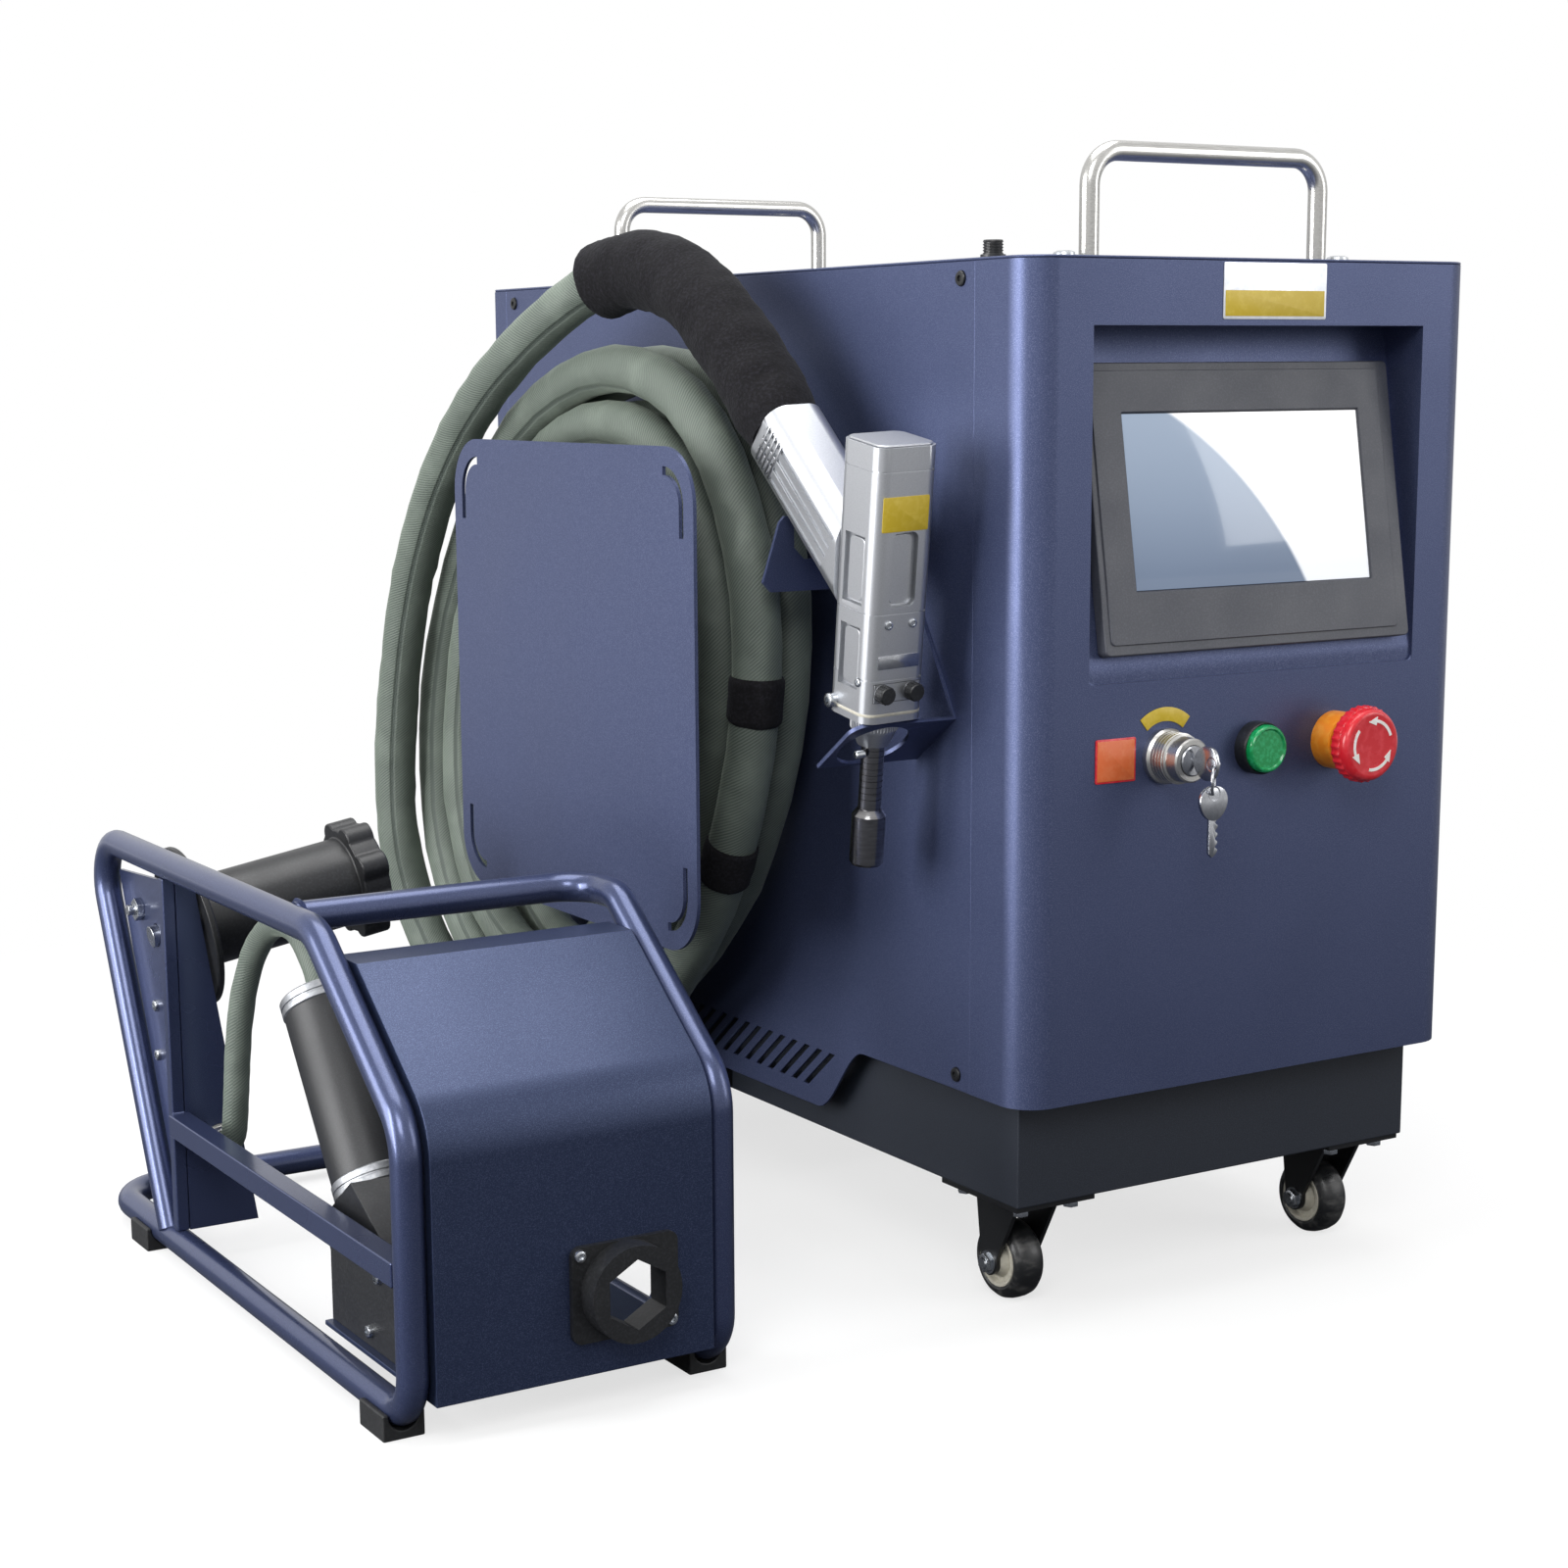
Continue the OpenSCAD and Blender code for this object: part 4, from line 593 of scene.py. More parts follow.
def framed(
    bm: bmesh.types.BMesh, outer: Outline, inner: Outline, low: float, high: float, rim: float, place: Matrix
) -> list:
    """Adds a flat frame between two outlines of the same number of points.

    Args:
        bm: The mesh that takes it.
        outer: The frame's outer outline, in millimetres.
        inner: The outline of its hole.
        low: Height of its back.
        high: Height of its face.
        rim: Width of the rounds on its face.
        place: Where the frame goes.

    Returns:
        Its vertices.
    """
    rows = [
        [bm.verts.new((x, y, z)) for x, y in line]
        for line, z in ((outer, low), (outer, high), (inner, high), (inner, low))
    ]
    for k in range(len(outer)):
        after = (k + 1) % len(outer)
        for here, there in zip(rows, rows[1:] + rows[:1]):
            bm.faces.new((here[k], here[after], there[after], there[k]))
    verts = [v for row in rows for v in row]
    edges = [bm.edges.get((row[k], row[(k + 1) % len(row)])) for row in rows[1:3] for k in range(len(row))]
    verts = soften_edges(bm, edges, rim, verts)
    bmesh.ops.transform(bm, matrix=place, verts=verts)
    return verts


def soften_edges(
    bm: bmesh.types.BMesh, edges: Iterable, width: float, verts: Iterable, segments: int = 2
) -> list:
    """Bevels edges.

    Args:
        bm: The mesh.
        edges: The edges to bevel.
        width: Width of the bevel.
        verts: The vertices of the piece that the edges are on.
        segments: Faces across the bevel.

    Returns:
        The piece's vertices afterwards.
    """
    before = set(verts)
    made = bmesh.ops.bevel(bm, geom=list(edges), offset=width, segments=segments, profile=0.5, affect="EDGES",
                            clamp_overlap=True, loop_slide=False, material=-1)
    return [v for v in before if v.is_valid] + [v for v in made["verts"] if v not in before]


def block(
    bm: bmesh.types.BMesh, size: Point, centre: Point, rim: float = 0.4, place: Matrix | None = None,
    segments: int = 2
) -> list:
    """Adds a block with bevelled edges.

    Args:
        bm: The mesh that takes it.
        size: Its width, depth and height.
        centre: Its middle.
        rim: Width of the bevel.
        place: Where the block goes within the mesh.
        segments: Faces across the bevel.

    Returns:
        The block's vertices.
    """
    verts = bmesh.ops.create_cube(bm, size=1.0)["verts"]
    bmesh.ops.scale(bm, vec=size, verts=verts)
    bmesh.ops.translate(bm, vec=centre, verts=verts)
    if rim:
        verts = soften_edges(bm, {e for v in verts for e in v.link_edges}, rim, verts, segments)
    if place is not None:
        bmesh.ops.transform(bm, matrix=place, verts=verts)
    return verts


def turned(bm: bmesh.types.BMesh, profile: Outline, sides: int = 48, place: Matrix | None = None) -> list:
    """Adds a piece that is turned about its Z axis.

    Args:
        bm: The mesh that takes it.
        profile: Radius and height along the piece's side, from one end to the other.
        sides: Faces round it.
        place: Where the piece goes within the mesh.

    Returns:
        The piece's vertices.
    """
    chain = [bm.verts.new((r, 0.0, z)) for r, z in profile]
    edges = [bm.edges.new(pair) for pair in zip(chain, chain[1:])]
    bmesh.ops.spin(
        bm, geom=chain + edges, cent=(0, 0, 0), axis=(0, 0, 1), angle=math.tau, steps=sides, use_merge=True
    )
    verts = linked(chain)
    bmesh.ops.remove_doubles(bm, verts=verts, dist=1e-4)
    verts = linked([v for v in verts if v.is_valid][:1])
    bmesh.ops.recalc_face_normals(bm, faces=list({f for v in verts for f in v.link_faces}))
    if place is not None:
        bmesh.ops.transform(bm, matrix=place, verts=verts)
    return verts


def linked(seeds: Iterable) -> list:
    """Returns every vertex that edges join to the given ones."""
    found = set(seeds)
    edge = list(found)
    while edge:
        fresh = {e.other_vert(v) for v in edge for e in v.link_edges} - found
        found |= fresh
        edge = list(fresh)
    return list(found)


def smooth_way(points: Sequence[Point], step: float) -> list[Vector]:
    """Returns a smooth line through given points.

    Args:
        points: The points, in millimetres.
        step: Distance between the line's own points.

    Returns:
        The line's points.
    """
    knots = [Vector(p) for p in points]
    padded = [2 * knots[0] - knots[1]] + knots + [2 * knots[-1] - knots[-2]]
    line: list[Vector] = []
    for a, b, c, d in zip(padded, padded[1:], padded[2:], padded[3:]):
        count = max(1, round((c - b).length / step))
        for k in range(count):
            t = k / count
            line.append(
                0.5 * (
                    2 * b + (c - a) * t + (2 * a - 5 * b + 4 * c - d) * t**2 + (3 * b - a - 3 * c + d) * t**3
                )
            )
    return line + [knots[-1]]


def bent_way(points: Sequence[Point], bends: Sequence[float], steps: int = 10) -> list[Vector]:
    """Returns the middle line of a bent tube.

    Args:
        points: The corners, in millimetres.
        bends: The bend's radius at each corner, 0 at the ends.
        steps: Points along each bend, less one.

    Returns:
        The line's points.
    """
    knots = [Vector(p) for p in points]
    line = [knots[0]]
    for a, b, c, radius in zip(knots, knots[1:], knots[2:], bends[1:]):
        back, on = (a - b).normalized(), (c - b).normalized()
        half = back.angle(on) / 2
        middle = b + (back + on).normalized() * (radius / math.sin(half))
        first, last = b + back * (radius / math.tan(half)), b + on * (radius / math.tan(half))
        for k in range(steps + 1):
            line.append(middle + (first - middle).slerp(last - middle, k / steps).normalized() * radius)
    return line + [knots[-1]]


def tube(
    line: Sequence[Vector], radius: Callable[[float], float], sides: int, capped: bool = True
) -> bmesh.types.BMesh:
    """Builds a round tube along a line, with a UV map in metres: along it and round it.

    Args:
        line: The middle line's points, in millimetres.
        radius: The radius at a distance along the line.
        sides: Faces round the tube.
        capped: Whether the ends are shut.

    Returns:
        The tube's mesh.
    """
    bm = bmesh.new()
    along = bm.verts.layers.float.new("along")
    side = bm.verts.layers.int.new("side")
    reach = [0.0]
    for a, b in zip(line, line[1:]):
        reach.append(reach[-1] + (b - a).length)
    ways = [(line[min(k + 1, len(line) - 1)] - line[max(k - 1, 0)]).normalized() for k in range(len(line))]
    across = ways[0].orthogonal().normalized()
    verts = bmesh.ops.create_circle(bm, segments=sides, radius=1.0)["verts"]
    for k, v in enumerate(verts):
        v[side] = k
    edges = list({e for v in verts for e in v.link_edges})
    if capped:
        bm.faces.new(verts)
    place = Matrix.Identity(4)
    for k, (point, way) in enumerate(zip(line, ways)):
        across = (across - across.project(way)).normalized()
        size = radius(reach[k])
        frame = Matrix((across * size, way.cross(across) * size, way)).transposed().to_4x4()
        frame.translation = point
        if k:
            made = bmesh.ops.extrude_edge_only(bm, edges=edges)["geom"]
            verts = [g for g in made if isinstance(g, bmesh.types.BMVert)]
            edges = [g for g in made if isinstance(g, bmesh.types.BMEdge)]
        bmesh.ops.transform(bm, matrix=frame @ place.inverted(), verts=verts)
        for v in verts:
            v[along] = reach[k]
        place = frame
    if capped:
        bmesh.ops.contextual_create(bm, geom=edges)
    wrap_uv(bm, along, side, sides, radius(0.0))
    bm.verts.layers.float.remove(along)
    bm.verts.layers.int.remove(bm.verts.layers.int["side"])
    bmesh.ops.recalc_face_normals(bm, faces=bm.faces)
    return bm


def wrap_uv(bm: bmesh.types.BMesh, along: object, side: object, sides: int, radius: float) -> None:
    """Writes a tube's UV map in metres.

    Args:
        bm: The tube's mesh.
        along: Layer with each vertex's distance along the tube.
        side: Layer with each vertex's number round the tube.
        sides: Faces round the tube.
        radius: The tube's radius.
    """
    uv = bm.loops.layers.uv.new("UVMap")
    for face in bm.faces:
        wraps = len(face.verts) == 4 and {v[side] for v in face.verts} == {0, sides - 1}
        for loop in face.loops:
            turn = sides if wraps and loop.vert[side] == 0 else loop.vert[side]
            loop[uv].uv = (loop.vert[along] / 1000.0, turn / sides * math.tau * radius / 1000.0)


def crease(bm: bmesh.types.BMesh, depth: float, size: float, seed: float) -> None:
    """Moves a mesh's points in and out as cloth that has settled.

    Args:
        bm: The mesh, in millimetres.
        depth: Largest movement.
        size: Distance between folds.
        seed: Picks the folds.
    """
    bm.normal_update()
    shift = Vector((seed, 2.0 * seed, -seed))
    for v in bm.verts:
        v.co += v.normal * (noise.noise(v.co / size + shift) * depth)


def wind(bm: bmesh.types.BMesh, sides: int, step: float, pitch: float, lift: float) -> None:
    """Raises a spiral of overlapping layers on a tube.

    Args:
        bm: The tube, with its rings in order.
        sides: How many vertices each ring has.
        step: Distance between the rings.
        pitch: Width of a layer along the tube.
        lift: How far a layer's free edge stands up.
    """
    bm.normal_update()
    for index, v in enumerate(bm.verts):
        ring, spoke = divmod(index, sides)
        share = (ring * step / pitch + spoke / sides) % 1.0
        v.co += v.normal * (lift * (share - 0.5))


def copied(
    nodes: dict[str, bpy.types.Object], name: str, rim: float = 0.5, angle: float = 28.0, segments: int = 2
) -> bmesh.types.BMesh:
    """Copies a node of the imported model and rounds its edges.

    Args:
        nodes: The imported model's nodes.
        name: The node's name.
        rim: Width of the round on each edge, in millimetres.
        angle: Edges that turn by more than this many degrees are rounded.
        segments: Faces across each round.

    Returns:
        The copy in millimetres, drawn from the cabinet's corner.
    """
    bm = bmesh.new()
    bm.from_mesh(nodes[name].data)
    bmesh.ops.transform(bm, matrix=PLACE.inverted(), verts=bm.verts)
    bmesh.ops.remove_doubles(bm, verts=bm.verts, dist=0.002)
    bmesh.ops.dissolve_limit(bm, angle_limit=math.radians(0.4), verts=bm.verts, edges=bm.edges)
    if rim:
        sharp = [
            e for e in bm.edges if len(e.link_faces) == 2 and e.calc_face_angle(0.0) > math.radians(angle)
        ]
        soften_edges(bm, sharp, rim, bm.verts, segments)
    return bm


def flat_regions(bm: bmesh.types.BMesh) -> dict[int, float]:
    """Returns for each face the area of the flat region that it is part of."""
    areas: dict[int, float] = {}
    for start in bm.faces:
        if start.index in areas:
            continue
        region, waiting = {start}, [start]
        while waiting:
            for edge in waiting.pop().edges:
                for other in edge.link_faces:
                    if other not in region and other.normal.dot(start.normal) > 0.99999:
                        region.add(other)
                        waiting.append(other)
        area = sum(f.calc_area() for f in region)
        areas.update((f.index, area) for f in region)
    return areas


def level_normals(mesh: bpy.types.Mesh, limit: float = 48.0) -> None:
    """Sets the corner normals so that wide flat faces stay flat and only their rounds bend the light.

    Args:
        mesh: The mesh.
        limit: Faces that turn by more than this many degrees at a corner don't share its normal.
    """
    bm = bmesh.new()
    bm.from_mesh(mesh)
    areas = flat_regions(bm)
    least = math.cos(math.radians(limit))
    normals = []
    for face in bm.faces:
        for vert in face.verts:
            near = [f for f in vert.link_faces if f.normal.dot(face.normal) > least]
            widest = max((areas[f.index] for f in near), default=0.0)
            shared = sum((f.normal * f.calc_area() for f in near if areas[f.index] > widest / 4), Vector())
            normals.append(shared.normalized() if shared.length > 1e-14 else face.normal.copy())
    bm.free()
    mesh.normals_split_custom_set(normals)


@dataclass
class Dresser:
    """Turns meshes into pieces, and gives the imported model's nodes their finishes."""

    nodes: dict[str, bpy.types.Object]
    made: list[str] = field(default_factory=list)

    def piece(self, bm: bmesh.types.BMesh, name: str, finish: Finish, body: str = "root",
              replaces: Sequence[str] = (), sharp: float = 34.0) -> bpy.types.Object:
        """Makes a piece out of a mesh, in its place and riding on a body.

        Args:
            bm: The mesh, in millimetres from the cabinet's corner. It is used up.
            name: The piece's name.
            finish: Its finish.
            body: The body that it rides on.
            replaces: The nodes that it stands for.
            sharp: Edges that turn by more than this many degrees stay sharp; 0 keeps wide flat faces flat.

        Returns:
            The piece.
        """
        bmesh.ops.transform(bm, matrix=PLACE, verts=bm.verts)
        mesh = bpy.data.meshes.new(name)
        bm.to_mesh(mesh)
        bm.free()
        mesh.shade_smooth()
        if sharp:
            mesh.set_sharp_from_angle(angle=math.radians(sharp))
        else:
            level_normals(mesh)
        mesh.materials.append(finish.material)
        obj = bpy.data.objects.new(name, mesh)
        bpy.context.scene.collection.objects.link(obj)
        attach(obj, body)
        if replaces:
            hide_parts(*replaces)
        self.made.append(name)
        LOG.info("piece %s rides on %s", name, body)
        return obj

    def rounded_copy(
        self, node: str, finish: Finish, body: str = "root", rim: float = 0.5
    ) -> bpy.types.Object:
        """Replaces a node by a copy of itself with rounded edges.

        Args:
            node: The node's name.
            finish: Its finish.
            body: The body that it rides on.
            rim: Width of the rounds in millimetres.

        Returns:
            The piece.
        """
        return self.piece(copied(self.nodes, node, rim), node + "_dressed", finish, body, [node], 0.0)


def hex_socket(
    bm: bmesh.types.BMesh, d: float, h: float, socket: float, place: Matrix, dome: float = 0.35
) -> None:
    """Adds a domed screw head with a hexagon socket.

    Args:
        bm: The mesh that takes it.
        d: Diameter of the head.
        h: Height of the head.
        socket: Width of the socket across its corners.
        place: Where the head stands, its Z axis outwards.
        dome: Share of the height that is domed.
    """
    r = d / 2
    wall = h * (1 - dome)
    profile = [(0, 0), (r, 0), (r, wall), (0.9 * r, wall + 0.7 * h * dome), (0.62 * r, h), (socket / 2, h)]
    turned(bm, profile + [(socket / 2, h - 0.1), (0.42 * socket, 0.4 * h), (0, 0.4 * h)], 24, place)


@dataclass
class Studio:
    """White studio: floor, soft boxes and the camera at the photograph's place."""

    floor_radius: float = 6.0

    def build(self) -> None:
        """Builds the camera, the lamps, the world and the floor."""
        self.camera()
        self.lamps()
        self.world()
        self.floor()

    def camera(self) -> None:
        """Adds the camera, fitted to the photograph's straight edges."""
        data = bpy.data.cameras.new("camera")
        data.lens = 62.68
        data.sensor_width = 36.0
        data.shift_x = 0.025
        data.shift_y = 0.05
        data.clip_start = 0.05
        camera = bpy.data.objects.new("camera", data)
        yaw, pitch, roll = (math.radians(v) for v in (-30.9, 90.0 - 10.18, -0.45))
        turn = Matrix.Rotation(yaw, 4, "Z") @ Matrix.Rotation(pitch, 4, "X") @ Matrix.Rotation(roll, 4, "Z")
        camera.matrix_world = Matrix.Translation((-0.7677, -1.32595, 0.4797)) @ turn
        bpy.context.scene.collection.objects.link(camera)
        bpy.context.scene.camera = camera

    def lamp(self, name: str, place: Point, aim: Point, size: tuple[float, float], power: float) -> None:
        """Adds one soft box.

        Args:
            name: The lamp's name.
            place: Where it hangs, in metres.
            aim: The point that it faces.
            size: Its width and height.
            power: Its power in watts.
        """
        data = bpy.data.lights.new(name, "AREA")
        data.shape = "RECTANGLE"
        data.size, data.size_y = size
        data.energy = power
        lamp = bpy.data.objects.new(name, data)
        way = Vector(aim) - Vector(place)
        lamp.matrix_world = Matrix.Translation(place) @ way.to_track_quat("-Z", "Y").to_matrix().to_4x4()
        bpy.context.scene.collection.objects.link(lamp)

    def lamps(self) -> None:
        """Adds a key box at the front left, one overhead, a fill, a side box and a strip."""
        self.lamp("key", (-1.6, -2.1, 2.1), (0.0, 0.0, 0.4), (1.2, 1.3), 42.0)
        self.lamp("overhead", (0.1, 0.1, 2.5), (0.05, 0.0, 0.2), (1.9, 1.9), 46.0)
        self.lamp("fill", (1.9, -1.9, 1.2), (0.1, 0.0, 0.3), (1.0, 1.5), 14.0)
        self.lamp("side", (-2.2, 0.45, 0.75), (0.0, 0.0, 0.4), (1.1, 1.5), 34.0)
        self.lamp("strip", (-2.1, -0.2, 0.7), (0.0, -0.25, 0.35), (0.28, 1.4), 27.0)

    def world(self) -> None:
        """Makes the background white to the camera and through glass, pale in mirrors, else a grey light."""
        world = bpy.data.worlds.new("studio")
        world.use_nodes = True
        tree = world.node_tree
        path = add(tree, "LightPath").outputs
        seen = add(
            tree, "Math", {0: path["Is Camera Ray"], 1: path["Is Transmission Ray"]}, operation="MAXIMUM"
        ).outputs[0]
        up = add(tree, "SeparateXYZ", {"Vector": add(tree, "TexCoord").outputs["Generated"]}).outputs["Z"]
        inputs = {"Value": up, "From Min": -0.25, "From Max": 0.3, "To Min": 0.45, "To Max": 1.0}
        sky = add(tree, "MapRange", inputs).outputs["Result"]
        light = add(
            tree, "MapRange", {"Value": path["Is Glossy Ray"], "To Min": 0.42, "To Max": sky}
        ).outputs["Result"]
        strength = add(tree, "MapRange", {"Value": seen, "To Min": light, "To Max": 1.0}).outputs["Result"]
        background = tree.nodes["Background"]
        background.inputs["Color"].default_value = (1.0, 1.0, 1.0, 1.0)
        tree.links.new(strength, background.inputs["Strength"])
        bpy.context.scene.world = world

    def floor(self) -> None:
        """Adds the floor: white to the camera and far out in mirrors, with the machine's shadow near by."""
        bm = bmesh.new()
        bmesh.ops.create_circle(bm, cap_ends=True, segments=96, radius=self.floor_radius)
        mesh = bpy.data.meshes.new("floor")
        bm.to_mesh(mesh)
        bm.free()
        floor = bpy.data.objects.new("floor", mesh)
        bpy.context.scene.collection.objects.link(floor)
        material, tree, surface = new_surface("white studio floor", Roughness=0.9, Specular_IOR_Level=0.1)
        path = add(tree, "LightPath").outputs
        tone = add(
            tree, "MixRGB",
            {"Fac": path["Is Camera Ray"], "Color1": linear("#54565b"), "Color2": linear("#fbfbfb")}
        )
        tree.links.new(tone.outputs["Color"], surface.inputs["Base Color"])
        place = add(tree, "TexCoord").outputs["Object"]
        away = add(tree, "VectorMath", {0: place}, operation="LENGTH").outputs["Value"]
        far = add(
            tree, "MapRange", {"Value": away, "From Min": 0.3, "From Max": 0.95, "To Min": 0.7}
        ).outputs["Result"]
        lit = add(
            tree, "MapRange", {"Value": away, "From Min": 0.9, "From Max": 3.2, "To Max": 0.95}
        ).outputs["Result"]
        mirrored = add(tree, "Math", {0: path["Is Glossy Ray"], 1: lit}, operation="MULTIPLY").outputs[0]
        through = add(
            tree, "Math", {0: path["Is Camera Ray"], 1: path["Is Transmission Ray"]}, operation="MAXIMUM"
        ).outputs[0]
        share = add(tree, "MapRange", {"Value": through, "To Min": mirrored, "To Max": far}).outputs["Result"]
        glow = add(tree, "Emission", {"Color": (1.0, 1.0, 1.0, 1.0), "Strength": 1.0})
        mix = add(tree, "MixShader", {"Fac": share, 1: surface.outputs["BSDF"], 2: glow.outputs["Emission"]})
        tree.links.new(mix.outputs["Shader"], tree.nodes["Material Output"].inputs["Surface"])
        mesh.materials.append(material)


@dataclass
class Hose:
    """The hose: five turns on the hanger, a free stretch over them, and the felt wrap next to the torch."""

    diameter: float = 27.0
    turns: int = 5
    rings: int = 44
    half_width: float = 210.0
    half_height: float = 215.0
    lead: float = 76.5
    sides: int = 22
    route: tuple[Point, ...] = (
        (-55, 458, 67), (-57, 494, 73), (-62, 525, 91), (-69, 548, 119), (-77, 560, 153), (-82.5, 563, 192),
        (-83.5, 561, 237), (-83.5, 552, 284), (-83.5, 537, 330), (-83.5, 515, 373), (-83.5, 486, 412),
        (-83, 451, 446), (-80.5, 413, 475), (-75, 377, 498), (-68, 344, 516), (-61, 316, 528),
    )
    wrap_route: tuple[Point, ...] = (
        (-61, 316, 528), (-55, 290, 534), (-50.5, 264, 533), (-48, 235, 523), (-47, 205, 505),
        (-46, 176, 480),
        (-44.8, 145.2, 449.7),
    )

    def coil_point(self, turn: float) -> Vector:
        """Returns a point of the coil.

        Args:
            turn: How many turns from the coil's start.

        Returns:
            The point, in millimetres.
        """
        wound = min(turn, self.turns - turn)
        rise = min(max(2 * turn - self.turns + 0.5, 0.0), 1.0)
        angle = math.radians(360 * turn - 90)
        a, b = self.half_width - 36 * wound, self.half_height - 30 * wound
        x = -26.5 - 28.5 * rise * rise * (3 - 2 * rise)
        return Vector((x, 367 + a * math.cos(angle) - 0.3 * b * math.sin(angle), 282 + b * math.sin(angle)))

    def way(self) -> list[Vector]:
        """Returns the hose's whole middle line, from its gland to the grip."""
        start, end = self.coil_point(0), self.coil_point(self.turns)
        lead = [start - Vector((0, self.lead * (1 - k / 6), 0)) for k in range(6)]
        coil = [self.coil_point(k / self.rings) for k in range(self.turns * self.rings + 1)]
        knots = [tuple(end)] + list(self.route) + list(self.wrap_route[1:])
        return lead + coil + smooth_way(knots, 9.0)[1:]

    def settle(self, point: Vector) -> Vector:
        """Returns a point of the coil moved by the slack that a wound hose keeps."""
        slack = Vector((0.0, noise.noise(point / 90.0), noise.noise(point / 90.0 + Vector((7, 3, 5)))))
        return point + slack * 2.2

    def build(self, dresser: Dresser) -> None:
        line = self.way()
        coil = range(12, 6 + self.turns * self.rings - 6)
        line = [self.settle(p) if k in coil else p for k, p in enumerate(line)]
        bm = tube(line, lambda s: self.diameter / 2 - 0.35, self.sides)
        crease(bm, 0.9, 11.0, 3.0)
        crease(bm, 0.5, 34.0, 9.0)
        hose = dresser.piece(
            bm, "welding_hose", Finish.HOSE, replaces=["hose_coil", "hose_end"]
        )
        pieces = [self.wrap(dresser)] + self.straps(dresser, line)
        self.gland(dresser)

    def wrap(self, dresser: Dresser) -> bpy.types.Object:
        """Builds the felt wrap: full in its middle, drawn in at both ends."""
        line = smooth_way(self.wrap_route, 2.5)
        reach = sum((b - a).length for a, b in zip(line, line[1:]))

        def radius(s: float) -> float:
            """Returns the wrap's radius at a distance along it."""
            start = min(s / 6.0, 1.0)
            end = min((reach - s) / 20.0, 1.0)
            return 15.2 + 5.9 * math.sin(start * math.pi / 2) * (0.55 + 0.45 * math.sin(end * math.pi / 2))

        bm = tube(line, radius, 36)
        wind(bm, 36, 2.5, 23.0, 0.35)
        crease(bm, 1.3, 18.0, 5.0)
        crease(bm, 0.4, 5.0, 2.0)
        return dresser.piece(bm, "felt_wrap", Finish.WRAP, replaces=["hose_wrap"])

    def straps(self, dresser: Dresser, line: list[Vector]) -> list[bpy.types.Object]:
        """Builds the straps on the outer turn's front stretch."""
        made = []
        front = [
            k for k, p in enumerate(line) if p.x < -48 and p.y < 200 and 6 < k < 6 + self.turns * self.rings
        ]
        for name, height in (("strap_high", 322.0), ("strap_low", 180.0)):
            middle = min(front, key=lambda k: abs(line[k].z - height) + 0.3 * line[k].y)
            part = smooth_way([tuple(line[k]) for k in range(middle - 2, middle + 3)], 2.0)
            heart = min(range(len(part)), key=lambda k: (part[k] - line[middle]).length)
            part = part[max(heart - 6, 0) : heart + 7]
            reach = sum((b - a).length for a, b in zip(part, part[1:]))
            bm = tube(
                part, lambda s: 13.4 + 1.35 * math.sin(min(1.0, s / 2.0, (reach - s) / 2.0) * math.pi / 2),
                30, False
            )
            crease(bm, 0.35, 6.0, height)
            made.append(dresser.piece(bm, name, Finish.WRAP))
        return made

    def gland(self, dresser: Dresser) -> None:
        """Builds the outlet box with its tapered strain relief."""
        bm = bmesh.new()
        block(bm, (43.0, 43.0, 40.0), (-21.5, 321.5, 70.0), 2.0)
        block(bm, (14.0, 42.0, 14.0), (6.2, 321.5, 71.0), 0.5)
        ribs = [(18.0, 0), (18.0, 4)]
        for k in range(3):
            ribs += [
                (16.6 - 0.4 * k, 4.5 + 2.2 * k), (16.6 - 0.4 * k, 6.0 + 2.2 * k),
                (15.9 - 0.4 * k, 6.2 + 2.2 * k)
            ]
        turned(bm, [(0, 0)] + ribs + [(14.2, 12.0), (0, 12.0)], 40, at((-26.5, 343, 67), Facing.BACK))
        dresser.piece(bm, "hose_gland", Finish.BLACK, replaces=["hose_outlet"])


